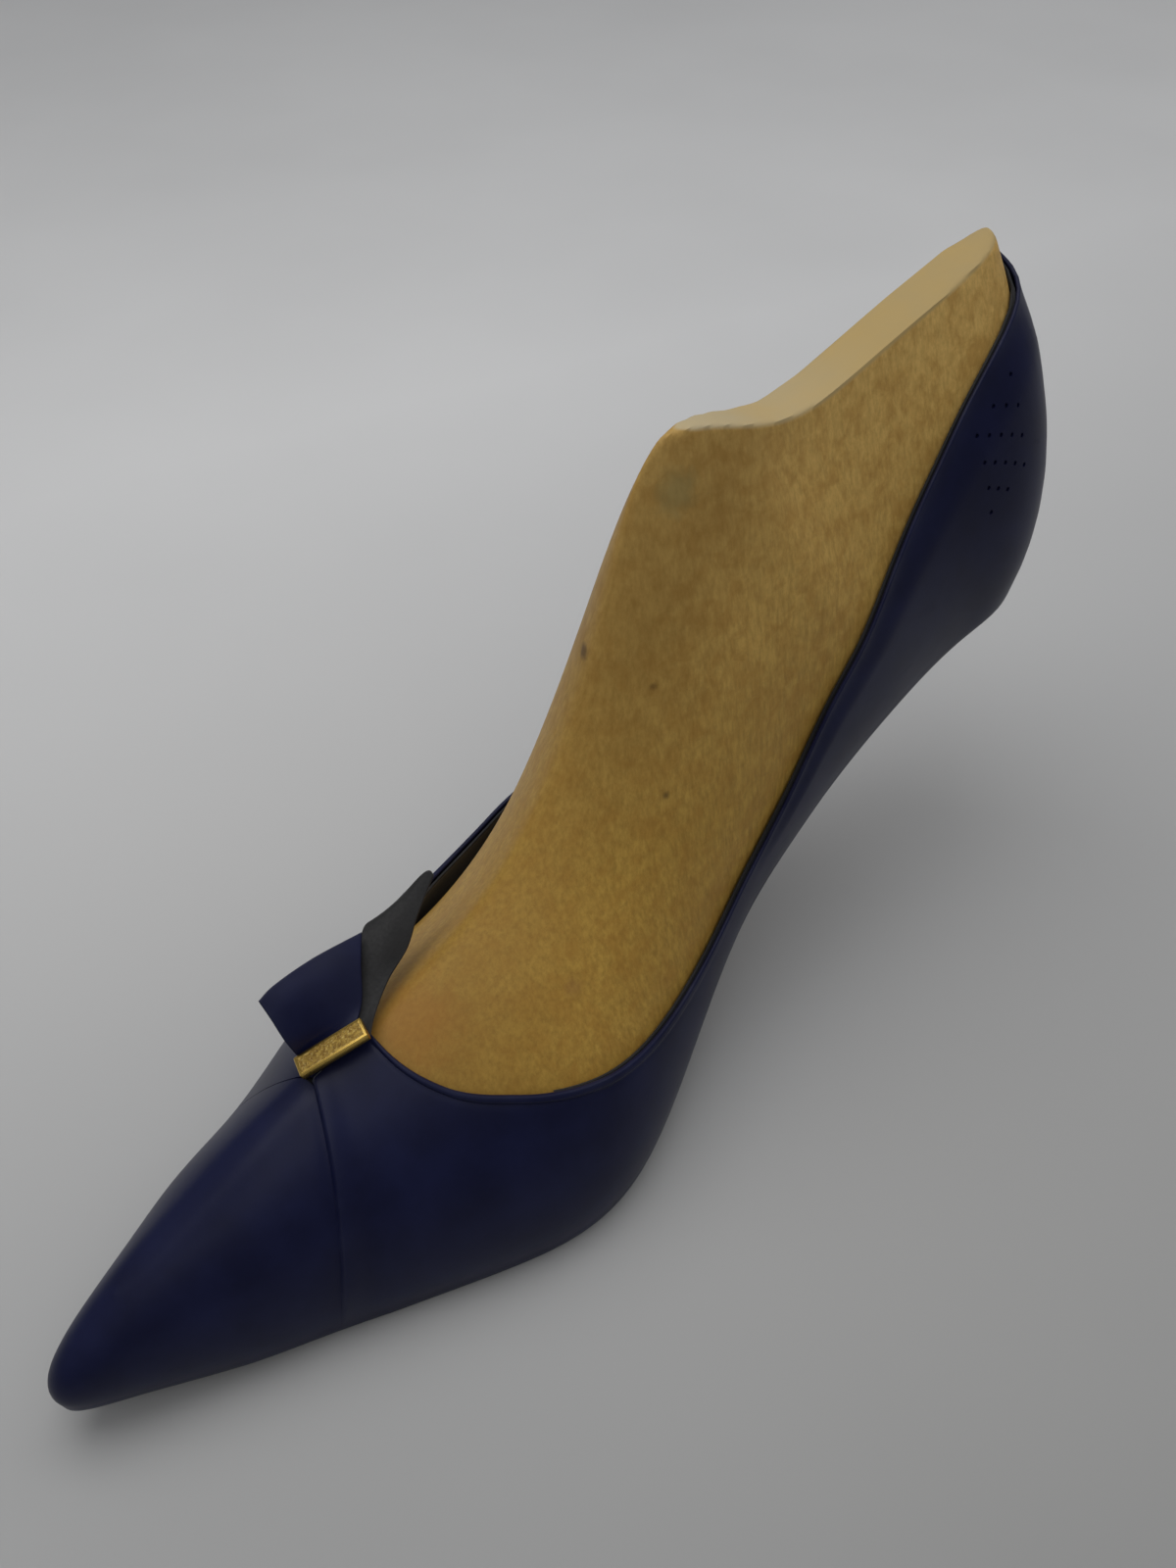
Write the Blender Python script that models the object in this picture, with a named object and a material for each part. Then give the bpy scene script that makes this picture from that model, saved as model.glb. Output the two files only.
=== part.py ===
"""Shoemaker's wooden last with the upper of a pointed court shoe lasted over it.

The last stands as it is drawn by its maker: forepart flat on the bench, heel
seat raised for a 65 mm heel. X runs from the toe to the heel, Y from the inner
(medial) to the outer (lateral) side, Z up. Lengths in the tables are
millimetres and are turned to metres when a mesh is made.

Every piece of leather follows the last, so one surface carries them all: a
station t runs round the feather edge from the toe (0) to the heel back (1), on
the outer side for t > 0 and on the inner side for t < 0, and a height v runs
up the wall from the feather edge (0) to the ridge or comb (1).
"""

import math

import bmesh
import bpy
import numpy as np
from mathutils import Matrix, Vector

MM = 0.001

# The last's sections, toe to heel back
STATION = (0, 0.04, 0.12, 0.24, 0.36, 0.46, 0.56, 0.66, 0.74, 0.82, 0.90, 0.96, 1)
FEATHER_X = (-4.8, 2.4, 18, 46, 72, 92, 117, 140, 160, 181, 203, 219, 226)
FEATHER_Z = (7.5, 6, 3, 0, 0, 2, 9, 24, 39, 51, 59.5, 64, 65)
INNER_WIDTH = (0, 3.8, 10.2, 21.4, 31.5, 32.5, 23, 15.5, 14, 14.5, 16, 14, 0)
OUTER_WIDTH = (0, 3.2, 10.8, 21, 31.5, 33.5, 31.5, 27.5, 24, 22, 21, 15, 0)
INNER_BULGE = (2.3, 2.7, 3, 4.5, 5, 5, 7.5, 10, 10, 7, 5, 8, 11.5)
OUTER_BULGE = (2.3, 2.7, 3, 4, 4.5, 1.5, 2.2, 4.5, 4.5, 5, 4.5, 6.5, 11.5)
RIDGE_X = (9, 11, 23.5, 46.5, 67, 87, 104.5, 118, 130.5, 154.5, 184.5, 212.5, 215)
RIDGE_Z = (20.4, 21.6, 26.6, 36, 43, 52.5, 69.5, 100, 125.5, 121.3, 125.2, 132, 133.4)
INNER_CROWN = (5.5, 4.6, 7.1, 11.5, 16, 16.5, 13, 10.5, 6.5, 6, 5.5, 7, 6.5)
OUTER_CROWN = (5.5, 4.6, 6.1, 8.5, 9.5, 5.5, 9.5, 10.5, 6.5, 6, 5.5, 7, 6.5)
INNER_DROP = (3.4, 2.5, 1, 1, 1, 1, 4, 7, 15, 22, 21.5, 18.5, 18.5)
OUTER_DROP = (3.4, 2.5, 1.5, 2.5, 3.5, 4.5, 5, 7, 15, 22, 21.5, 18.5, 18.5)
WALL_RISE = 0.355
INNER_COMB, OUTER_COMB = 5.2, 3.3
COMB_FRONT, INNER_COMB_FULL, OUTER_COMB_FULL, COMB_ROUND = 0.725, 0.80, 0.88, 0.92
TOE_TURN, HEEL_TURN = 0.12, 0.10
RIDGE_NEAR = 0.99
SPINE_FRONT, SPINE_REAR = 0.07, 0.93

# The upper's lines: lap of the quarters over the vamp, throat and topline
LAP_FEATHER, LAP_RIDGE = 0.195, 0.257
THROAT_FEATHER, THROAT_RIDGE = 0.235, 0.327
LINING_SEAM = 0.40
TOPLINE_FEATHER = (0.235, 0.265, 0.31, 0.37, 0.44, 0.54, 0.64, 0.72, 0.78, 0.84, 0.90, 0.95, 1)
TOPLINE_STATION = (0.327, 0.328, 0.345, 0.39, 0.45, 0.54, 0.63, 0.71, 0.775, 0.835, 0.895, 0.937, 1)
TOPLINE_HEIGHT = (1, 0.86, 0.705, 0.56, 0.43, 0.298, 0.218, 0.205, 0.30, 0.45, 0.615, 0.77, 0.90)

# Thicknesses and the gaps between layers
GAP = 0.3
WOOD_GAP = 0.4
LINING = 0.6
STIFFENER = 0.6
UPPER = 0.8
INSOLE = 1.2
SEAM_GAP = 0.0008
HEEL_SEAM_GAP = 0.0012
RIDGE_GAP = 0.018
FRONT_MARGIN, REAR_MARGIN = 12.0, 8.5
PUFF_END = 0.13
COUNTER_START = 0.74

# The metal fitted into and under the last
SHANK_START, SHANK_END, SHANK_HALF_WIDTH = 0.50, 0.79, 4.5
SHANK = 1.2
PLATE_START, PLATE_END, PLATE_HALF_WIDTH = 0.845, 0.925, 8.0
PLATE, POCKET = 1.5, 0.002
PLATE_SCREWS = (("front", 0.865), ("rear", 0.905))
SCREW_LENGTH, SCREW_TIP, SCREW_NECK, SCREW_HEAD = 12.0, 1.0, 1.4, 2.2
SHANK_RIVETS = (("front", 0.53), ("rear", 0.76))
RIVET_RADIUS, RIVET_HEAD, HEAD_RISE = 1.2, 2.4, 0.4
INSOLE_TACKS = (("toe", 0.215), ("joint", 0.42), ("heel", 0.818))
LASTING_TACKS = (0.87, 0.92, 0.965)
LASTING_INSET = 4.5
TACK_RADIUS, TACK_TIP, TACK_TAPER, TACK_HEAD = 0.6, 0.15, 3.0, 2.0
TACK_LENGTH = 11.0
STEP = 0.01

# The bar over the throat and the bow that it gathers
BAR_CENTRE = (53.6, -0.6, 43.8)
BAR_LENGTH, BAR_WIDTH, BAR_HEIGHT = 13.0, 4.2, 1.6
BAR_CHAMFER = 0.4
LEG_SIZE, LEG_CENTRE = (3.6, 0.6, 3.8), (52.4, 0.0, 41.4)
ROOT_ACROSS, FOLD_ACROSS = 1.3, 2.8
BAR_YAW, BAR_PITCH = -19.4, -19.0
BOW = 0.5
FRONT_LOBE = (
    ((48.3, 5.0, 45.6), (53.4, 4.4, 45.9), (58.4, 3.4, 46.3), (62.5, 2.4, 46.0)),
    ((48.0, 7.5, 49.3), (53.0, 7.4, 49.9), (58.0, 7.1, 49.8), (65.6, 6.0, 49.3)),
    ((47.9, 10.2, 51.7), (51.5, 10.8, 52.1), (59.5, 11.0, 52.0), (69.1, 9.8, 52.0)),
)
REAR_LOBE = (
    ((61.8, 0.9, 43.4), (62.6, 0.4, 43.7), (63.3, -0.2, 44.2)),
    ((64.2, 5.9, 46.2), (66.2, 4.0, 46.3), (68.4, 2.4, 46.2)),
    ((66.9, 9.3, 50.3), (70.1, 6.4, 49.9), (73.6, 4.2, 48.4)),
    ((69.6, 11.6, 50.9), (74.3, 8.6, 51.5), (78.2, 6.2, 51.4)),
    ((73.6, 10.8, 50.6), (79.2, 10.2, 52.3), (84.5, 9.2, 53.8)),
)

# Where the whole part stands: its box is centred on X and Y, its lowest face at Z = 0
CENTRE_X, CENTRE_Y = 112.327, -0.108
LIFT = GAP + INSOLE + GAP + LINING + GAP + UPPER

# Plan and mesh fineness
COLUMNS = 28
COLUMNS_DRAWN_OUT = 0.6
ROWS = (0, 0.10, 0.27, 0.46, 0.64, 0.78, 0.90, 0.975, 1)
PUFF_ROWS, COUNTER_ROWS = ROWS[1:], ROWS[1:6]
BARE_ROWS = (0.22, 0.5, 0.78, 1)
COLUMN_APART = 0.01
THROAT_COLUMNS = (0.238, 0.252, 0.268, 0.31)
COMB_COLUMNS = (0.725,)
SEAM_NEAR = 0.004

INNER, OUTER = -1, 1
UP = np.array((0.0, 0.0, 1.0))
UP_VECTOR = Vector((0.0, 0.0, 1.0))


def clear_scene():
    for old in list(bpy.data.objects):
        bpy.data.objects.remove(old, do_unlink=True)


def surface_material(name, colour, roughness, metallic=0.0):
    made = bpy.data.materials.new(name)
    made.use_nodes = True
    shader = made.node_tree.nodes["Principled BSDF"]
    shader.inputs["Base Color"].default_value = (*colour, 1.0)
    shader.inputs["Roughness"].default_value = roughness
    shader.inputs["Metallic"].default_value = metallic
    made.diffuse_color = (*colour, 1.0)
    return made


# The surface of the last


def ease(x, start, end):
    """0 before start, 1 after end, smooth between."""
    s = np.clip((x - start) / (end - start), 0.0, 1.0)
    return s * s * (3 - 2 * s)


def curve_slopes(knots, values):
    """The slopes of the smooth closed curve through values at knots."""
    step = np.diff(knots)
    count = len(step)
    matrix = np.zeros((count, count))
    right = np.zeros(count)
    for i in range(count):
        before, after = step[i - 1], step[i]
        last = values[i - 1] if i else values[-2]
        matrix[i, (i - 1) % count] += 1 / before
        matrix[i, i] += 2 / before + 2 / after
        matrix[i, (i + 1) % count] += 1 / after
        rise = (values[i] - last) / before**2 + (values[i + 1] - values[i]) / after**2
        right[i] = 3 * rise
    slopes = np.linalg.solve(matrix, right)
    return np.append(slopes, slopes[0])


def between(knots, values, slopes, t):
    """The cubic through knots, values and slopes, read at t."""
    i = np.clip(np.searchsorted(knots, t, side="right") - 1, 0, len(knots) - 2)
    step = knots[i + 1] - knots[i]
    u = (t - knots[i]) / step
    low = (1 + 2 * u) * (1 - u) ** 2 * values[i] + u * (1 - u) ** 2 * step * slopes[i]
    high = u * u * (3 - 2 * u) * values[i + 1] - u * u * (1 - u) * step * slopes[i + 1]
    return low + high


class RoundCurve:
    """A size that changes smoothly right round the last."""

    def __init__(self, inner, outer):
        self.knots = np.array([-s for s in STATION[:0:-1]] + list(STATION), float)
        self.values = np.array(list(inner[:0:-1]) + list(outer), float)
        self.slopes = curve_slopes(self.knots, self.values)

    def __call__(self, t):
        return between(self.knots, self.values, self.slopes, around(t))


def negative(values):
    return tuple(-v for v in values)


feather_x = RoundCurve(FEATHER_X, FEATHER_X)
feather_z = RoundCurve(FEATHER_Z, FEATHER_Z)
feather_y = RoundCurve(negative(INNER_WIDTH), OUTER_WIDTH)
bulge = RoundCurve(INNER_BULGE, OUTER_BULGE)
ridge_x = RoundCurve(RIDGE_X, RIDGE_X)
ridge_z = RoundCurve(RIDGE_Z, RIDGE_Z)
crown = RoundCurve(INNER_CROWN, OUTER_CROWN)
ridge_drop = RoundCurve(INNER_DROP, OUTER_DROP)


def around(t):
    """Stations run on past the heel back into the other side."""
    return (t + 1) % 2 - 1


def sideways(t):
    """The level direction in which the wall swells: forward at the toe, sideways, back at the heel."""
    t = around(t)
    along = abs(t)
    if along < 0.5:
        angle = math.pi / 2 * math.sin(math.pi / 2 * min(along / TOE_TURN, 1))
    else:
        angle = math.pi - math.pi / 2 * math.sin(math.pi / 2 * min((1 - along) / HEEL_TURN, 1))
    return np.array((-math.cos(angle), math.copysign(math.sin(angle), t), 0.0))


def feather(t):
    return np.array((feather_x(t), feather_y(t), max(feather_z(t), 0.0)))


def ridge(t):
    t = around(t)
    along = abs(t)
    round_end = math.sin(math.pi / 2 * min((1 - along) / (1 - COMB_ROUND), 1))
    widest, full = (OUTER_COMB, OUTER_COMB_FULL) if t > 0 else (INNER_COMB, INNER_COMB_FULL)
    half = widest * ease(along, COMB_FRONT, full) * round_end
    return np.array((ridge_x(t), math.copysign(half, t), ridge_z(t)))


def wall(t, v):
    """A point of the last's side."""
    foot, top = feather(t), ridge(t)
    low = foot + sideways(t) * bulge(t) + UP * WALL_RISE * (top[2] - foot[2])
    high = top + sideways(t) * crown(t) - UP * ridge_drop(t)
    w = 1 - v
    return w**3 * foot + 3 * w * w * v * low + 3 * w * v * v * high + v**3 * top


def wall_normal(t, v):
    """Outward from the last's side; on the ridge it stands upright between the sides."""
    nudge = 1e-3
    near = min(v, RIDGE_NEAR)
    along = wall(t + nudge, near) - wall(t - nudge, near)
    up = wall(t, near + nudge) - wall(t, max(near - nudge, 0))
    normal = np.cross(up, along)
    if v > near and abs(around(t)) < COMB_FRONT:
        normal[1] = 0
    return normal / np.linalg.norm(normal)


def spine(t):
    """The bottom's centre line, from which the toe and heel fan out."""
    held = min(max(abs(t), SPINE_FRONT), SPINE_REAR)
    return (feather(held) + feather(-held)) / 2


def down(t):
    """Square to the bottom, pointing away from the last."""
    held = min(max(abs(t), SPINE_FRONT), SPINE_REAR)
    nudge = 1e-3
    run = spine(held + nudge) - spine(held - nudge)
    normal = np.array((run[2], 0, -run[0]))
    return normal / np.linalg.norm(normal)


def bottom(t, inward, depth):
    """A point under the last: inward 0 at the feather edge, 1 at the spine."""
    edge = feather(t)
    return edge + (spine(t) - edge) * inward + down(t) * depth


# The upper's own grid


def top_of(t):
    """Where the column that starts at feather station t ends: station and height."""
    along = abs(t)
    if along <= LAP_FEATHER:
        return along * LAP_RIDGE / LAP_FEATHER, 1.0
    if along <= THROAT_FEATHER:
        share = (along - LAP_FEATHER) / (THROAT_FEATHER - LAP_FEATHER)
        return LAP_RIDGE + (THROAT_RIDGE - LAP_RIDGE) * share, 1.0
    return topline_station(along), topline_height(along)


class OpenCurve:
    """A smooth curve through points that keeps their order."""

    def __init__(self, knots, values):
        self.knots = np.array(knots, float)
        self.values = np.array(values, float)
        self.slopes = np.gradient(self.values, self.knots)

    def __call__(self, t):
        return float(between(self.knots, self.values, self.slopes, t))


topline_station = OpenCurve(TOPLINE_FEATHER, TOPLINE_STATION)
topline_height = OpenCurve(TOPLINE_FEATHER, TOPLINE_HEIGHT)


def place(side, t, share):
    """Station and height at a share of the column's length."""
    station, height = top_of(t)
    return side * (t + (station - t) * share * share), height * share


def upper_distance(t):
    """The upper lies further out where a stiffener is under it."""
    stiff = 1 - ease(t, PUFF_END, PUFF_END + 0.08) + ease(t, COUNTER_START - 0.1, COUNTER_START - 0.01)
    return WOOD_GAP + LINING + GAP + (STIFFENER + GAP) * stiff


def margin_of(t):
    return FRONT_MARGIN + (REAR_MARGIN - FRONT_MARGIN) * ease(t, 0.42, 0.6)


def shared_columns():
    """The columns of every layer: evenly drawn out, with one wherever a piece starts or ends."""
    even = [k / COLUMNS for k in range(COLUMNS + 1)]
    spread = [s + COLUMNS_DRAWN_OUT * ((1 - math.cos(math.pi * s)) / 2 - s) for s in even]
    ends = (PUFF_END, LAP_FEATHER, LINING_SEAM, COUNTER_START)
    ends += (SHANK_START, SHANK_END, PLATE_START, PLATE_END) + THROAT_COLUMNS + COMB_COLUMNS
    return sorted([s for s in spread if min(abs(s - e) for e in ends) > COLUMN_APART] + list(ends))


def columns_between(start, end):
    """The shared columns that lie between two stations, with the stations themselves."""
    inside = [t for t in shared_columns() if start + SEAM_NEAR < t < end - SEAM_NEAR]
    return [start] + inside + [end]


def wall_column(side, t, rows, distance, ridge_gap=0.0):
    points = []
    for share in rows:
        station, height = place(side, t, share)
        height = min(height, 1 - ridge_gap)
        points.append(wall(station, height) + wall_normal(station, height) * distance)
    return points


def turned_column(side, t, distance, under, margin):
    """From under the insole's edge out and up to the feather edge, in that order."""
    signed = side * t
    depth = GAP + INSOLE
    edge = bottom(signed, 0, depth)
    out, below = wall_normal(signed, 0), down(signed)
    reach = np.linalg.norm(spine(signed) - feather(signed))
    inward = min(margin / reach, 0.86)
    slant = out + below
    slant = slant / np.linalg.norm(slant)
    return [
        bottom(signed, inward, depth + under),
        bottom(signed, 0.02, depth + under),
        edge + slant * (distance + under) / 2,
        edge + out * distance,
    ]


# Meshes


def add_object(name, mesh, material):
    mesh.materials.append(material)
    made = bpy.data.objects.new(name, mesh)
    bpy.context.scene.collection.objects.link(made)
    mesh.shade_smooth()
    mesh.set_sharp_from_angle(angle=math.radians(40))
    return made


def to_metres(point):
    return Vector(((point[0] - CENTRE_X) * MM, (point[1] - CENTRE_Y) * MM, (point[2] + LIFT) * MM))


def grid_faces(bm, grid, flip):
    """Every square is split along the same diagonal, so that layers stay parallel."""
    for left, right in zip(grid, grid[1:]):
        for row in range(len(left) - 1):
            a, b, c, d = left[row], right[row], right[row + 1], left[row + 1]
            for corners in ((a, b, d), (b, c, d)):
                bm.faces.new(corners[::-1] if flip else corners)


def sheet_mesh(name, grids):
    """One mesh from grids of points, each with the side that it lies on."""
    bm = bmesh.new()
    for side, grid in grids:
        vertices = [[bm.verts.new(to_metres(p)) for p in column] for column in grid]
        grid_faces(bm, vertices, flip=side == OUTER)
    bmesh.ops.remove_doubles(bm, verts=bm.verts, dist=0.00002)
    bmesh.ops.dissolve_degenerate(bm, edges=bm.edges, dist=0.00002)
    mesh = bpy.data.meshes.new(name)
    bm.to_mesh(mesh)
    bm.free()
    return mesh


def thicken(made, thickness):
    solid = made.modifiers.new("Thickness", "SOLIDIFY")
    solid.thickness = thickness * MM
    solid.offset = 1.0
    solid.use_even_offset = True
    solid.use_rim = True
    return made


# Each layer: its distance from the wood at a station, how far it lies under the insole, its thickness
LINING_LAYER = (lambda t: WOOD_GAP, GAP, LINING)
UPPER_LAYER = (upper_distance, GAP + LINING + GAP, UPPER)


def leather_piece(name, sides, start, end, layer, material, ridge_gap=0.0):
    """A piece lasted over the wall and turned in under the insole."""
    distance, under, thickness = layer
    grids = []
    for side in sides:
        grid = []
        for t in columns_between(start, end):
            column = turned_column(side, t, distance(t), under, margin_of(t))
            column += wall_column(side, t, ROWS, distance(t), ridge_gap)
            grid.append(column)
        grids.append((side, grid))
    return thicken(add_object(name, sheet_mesh(name, grids), material), thickness)


def stiffener_piece(name, start, end, rows, material):
    """A stiffener between lining and upper, on both sides."""
    distance = WOOD_GAP + LINING + GAP
    grids = []
    for side in (INNER, OUTER):
        grid = [wall_column(side, t, rows, distance) for t in columns_between(start, end)]
        grids.append((side, grid))
    return thicken(add_object(name, sheet_mesh(name, grids), material), STIFFENER)


def cut(target, cutter, operation="DIFFERENCE"):
    """Takes the cutter out of the target, or adds it with a union."""
    cutter.hide_render = True
    cutter.display_type = "WIRE"
    boolean = target.modifiers.new("Cut", "BOOLEAN")
    boolean.operation = operation
    boolean.solver = "EXACT"
    boolean.object = cutter


def turned(name, profile, centre, axis, material, sides=10):
    """A round piece from (distance along the axis, radius) pairs, starting at centre."""
    bm = bmesh.new()
    rings = []
    for along, radius in profile:
        ring = []
        for k in range(sides):
            angle = 2 * math.pi * k / sides
            ring.append(bm.verts.new((radius * math.cos(angle), radius * math.sin(angle), along)))
        rings.append(ring)
    for low, high in zip(rings, rings[1:]):
        for k in range(sides):
            bm.faces.new((low[k], low[(k + 1) % sides], high[(k + 1) % sides], high[k]))
    bm.faces.new(rings[0][::-1])
    bm.faces.new(rings[-1])
    turn = Vector(axis).normalized().to_track_quat("Z", "Y").to_matrix().to_4x4()
    bmesh.ops.scale(bm, vec=(MM, MM, MM), verts=bm.verts)
    bmesh.ops.transform(bm, matrix=Matrix.Translation(to_metres(centre)) @ turn, verts=bm.verts)
    mesh = bpy.data.meshes.new(name)
    bm.to_mesh(mesh)
    bm.free()
    return add_object(name, mesh, material)


# The pieces


def last_body(material):
    """The wood: under the upper its facets lie parallel to the leather's."""
    grids = []
    for side in (INNER, OUTER):
        grid = []
        for t in columns_between(0, 1):
            signed = side * t
            station, height = top_of(t)
            column = [bottom(signed, share, 0) for share in (1, 0.5)]
            column += [wall(*place(side, t, share)) for share in ROWS]
            for share in BARE_ROWS:
                column.append(wall(side * station, height + (1 - height) * share))
            column.append(column[-1] * np.array((1, 0, 1)))
            grid.append(column)
        grids.append((side, grid))
    return add_object("last_body", sheet_mesh("last_body", grids), material)


def insole_board(material):
    """A board the shape of the last's bottom, just inside the feather edge."""
    grids = []
    for side in (INNER, OUTER):
        grid = [[bottom(side * t, share, GAP) for share in (1, 0.5, 0.02)] for t in columns_between(0, 1)]
        grids.append((side, grid))
    return thicken(add_object("insole_board", sheet_mesh("insole_board", grids), material), INSOLE)


def strip_under_last(name, start, end, half_width, depth, thickness, material):
    """A straight strip along the bottom's centre line."""
    grid = []
    for t in columns_between(start, end):
        middle = spine(t) + down(t) * depth
        grid.append([middle + np.array((0, half_width * share, 0)) for share in (1, 0, -1)])
    mesh = sheet_mesh(name, [(INNER, grid)])
    return thicken(add_object(name, mesh, material), thickness)


def fastener(name, foot, axis, profile, hosts, material):
    """A tack, rivet or screw, with its clearance hole in each piece that it passes."""
    turned(name, profile, foot, axis, material)
    first, last = profile[0][0] - GAP, profile[-1][0] + GAP
    for host in hosts:
        widest = [(along, radius + GAP) for along, radius in profile]
        hole = [(first, widest[0][1])] + widest[1:-1] + [(last, widest[-1][1])]
        cut(host, turned(f"{name}_hole_{host.name}", hole, foot, axis, material))


def box(name, size, centre, axes, material, chamfer=0.0):
    """A block whose edges lie along axes."""
    bm = bmesh.new()
    bmesh.ops.create_cube(bm, size=1.0)
    bmesh.ops.scale(bm, vec=[side * MM for side in size], verts=bm.verts)
    turn = Matrix([[axes[column][row] for column in range(3)] for row in range(3)]).to_4x4()
    bmesh.ops.transform(bm, matrix=Matrix.Translation(to_metres(centre)) @ turn, verts=bm.verts)
    mesh = bpy.data.meshes.new(name)
    bm.to_mesh(mesh)
    bm.free()
    made = add_object(name, mesh, material)
    if chamfer:
        bevel = made.modifiers.new("Chamfer", "BEVEL")
        bevel.width = chamfer * MM
        bevel.segments = 1
    return made


def smooth_points(points, count):
    """count points along the smooth line through the given ones."""
    points = np.array(points, float)
    knots = np.linspace(0, 1, len(points))
    slopes = np.gradient(points, knots, axis=0)
    return [between(knots, points, slopes, t) for t in np.linspace(0, 1, count)]


def bow_lobe(name, ribs, across, along, material):
    """A bent sheet of leather lofted over ribs that lie one behind the other from its root to its free edge."""
    ribs = [smooth_points(rib, across) for rib in ribs]
    lines = [smooth_points([rib[k] for rib in ribs], along) for k in range(across)]
    return thicken(add_object(name, sheet_mesh(name, [(INNER, lines)]), material), BOW)


def bar_axes():
    """The bar's long axis, its axis across and its outward axis."""
    yaw, pitch = math.radians(BAR_YAW), math.radians(BAR_PITCH)
    length = Vector((math.cos(yaw) * math.cos(pitch), math.sin(yaw) * math.cos(pitch), -math.sin(pitch)))
    across = UP_VECTOR.cross(length).normalized()
    return length, across, length.cross(across)


def under_bar(along, across, below):
    """A point in the bar's own axes, below its underside."""
    length, side, out = bar_axes()
    drop = BAR_HEIGHT / 2 + below
    return np.array(Vector(BAR_CENTRE) + length * along + side * across - out * drop)


def upper_pieces(colours):
    """Linings, stiffeners and leather from the wood outwards; gives back the pieces that tacks pass."""
    navy, black, canvas = colours["navy kid"], colours["black lining"], colours["stiffener"]
    both, heel_end = (INNER, OUTER), 1 - HEEL_SEAM_GAP / 2
    leather_piece("vamp_lining", both, 0, LINING_SEAM - SEAM_GAP, LINING_LAYER, black)
    leather_piece("vamp", both, 0, LAP_FEATHER - SEAM_GAP, UPPER_LAYER, navy)
    passed = {}
    for side, word in ((INNER, "medial"), (OUTER, "lateral")):
        start = LINING_SEAM + SEAM_GAP
        lining = leather_piece(f"{word}_quarter_lining", (side,), start, heel_end, LINING_LAYER, black)
        start = LAP_FEATHER + SEAM_GAP
        quarter = leather_piece(f"{word}_quarter", (side,), start, heel_end, UPPER_LAYER, navy, RIDGE_GAP)
        passed[word] = (lining, quarter)
    stiffener_piece("toe_puff", 0, PUFF_END, PUFF_ROWS, canvas)
    stiffener_piece("heel_counter", COUNTER_START, 1, COUNTER_ROWS, canvas)
    return passed


def ornament(colours):
    """The gilt bar over the throat, its leg in the seam, and the two lobes of the bow under it."""
    length, _, _ = bar_axes()
    along_seam = Vector((length.x, 0, length.z)).normalized()
    across_seam = Vector((0, 1, 0))
    leg_axes = (along_seam, across_seam, along_seam.cross(across_seam))
    bar_size = (BAR_LENGTH, BAR_WIDTH, BAR_HEIGHT)
    bar = box("ornament_bar", bar_size, BAR_CENTRE, bar_axes(), colours["gilt"], BAR_CHAMFER)
    cut(bar, box("bar_leg", LEG_SIZE, LEG_CENTRE, leg_axes, colours["gilt"]), "UNION")
    below = GAP + BOW
    root = [under_bar(along, ROOT_ACROSS, below) for along in (-5.6, -2.8, 0, 2.8)]
    fold = [under_bar(along, FOLD_ACROSS, BOW) for along in (-5.9, -2.2, 1.5, 5.2)]
    bow_lobe("bow_front_lobe", [root, fold, *FRONT_LOBE], 8, 10, colours["navy kid"])
    root = [under_bar(along, across, below) for along, across in ((4.4, -0.2), (5.2, -0.8), (6.0, -1.4))]
    bow_lobe("bow_rear_lobe", [root, *REAR_LOBE], 7, 11, colours["black lining"])


def tack_profile(seat, radius, head, length):
    """A tack from its tip up in the wood to its head, which lies just under seat."""
    return [
        (seat - length, TACK_TIP),
        (seat - length + TACK_TAPER, radius),
        (seat + GAP, radius),
        (seat + GAP + STEP, head),
        (seat + GAP + HEAD_RISE, head * 0.75),
    ]


def metal_and_boards(body, passed, colours):
    """The plate let into the heel seat, the insole, the shank and every screw, rivet and tack."""
    steel, iron = colours["steel"], colours["tack"]
    plate = strip_under_last("heel_plate", PLATE_START, PLATE_END, PLATE_HALF_WIDTH, -PLATE, PLATE, steel)
    around_plate = PLATE_HALF_WIDTH + GAP, -PLATE - GAP, PLATE + 2 * GAP
    cut(body, strip_under_last("plate_pocket", PLATE_START - POCKET, PLATE_END + POCKET, *around_plate, steel))
    screw = [(-SCREW_LENGTH, SCREW_TIP), (-PLATE, SCREW_NECK), (-GAP / 2, SCREW_HEAD)]
    for word, t in PLATE_SCREWS:
        fastener(f"heel_plate_screw_{word}", spine(t), down(t), screw, (body, plate), iron)

    board = insole_board(colours["board"])
    under_board = GAP + INSOLE
    shank_place = SHANK_START, SHANK_END, SHANK_HALF_WIDTH, under_board + GAP, SHANK
    shank = strip_under_last("steel_shank", *shank_place, steel)
    head = under_board + GAP + SHANK + GAP
    rivet = [(2 * GAP, RIVET_RADIUS), (head, RIVET_RADIUS), (head + STEP, RIVET_HEAD)]
    rivet.append((head + GAP + HEAD_RISE, RIVET_HEAD * 0.7))
    for word, t in SHANK_RIVETS:
        fastener(f"shank_rivet_{word}", spine(t), down(t), rivet, (board, shank), iron)

    tack = tack_profile(under_board, TACK_RADIUS, TACK_HEAD, TACK_LENGTH + under_board)
    for word, t in INSOLE_TACKS:
        fastener(f"insole_tack_{word}", spine(t), down(t), tack, (body, board), iron)
    under_upper = under_board + GAP + LINING + GAP + UPPER
    tack = tack_profile(under_upper, TACK_RADIUS, TACK_HEAD, TACK_LENGTH + under_board)
    for side, word in ((INNER, "medial"), (OUTER, "lateral")):
        for number, t in enumerate(LASTING_TACKS, 1):
            reach = np.linalg.norm(spine(t) - feather(side * t))
            foot = bottom(side * t, LASTING_INSET / reach, 0)
            fastener(f"lasting_tack_{word}_{number}", foot, down(t), tack, (body, board, *passed[word]), iron)


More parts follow.
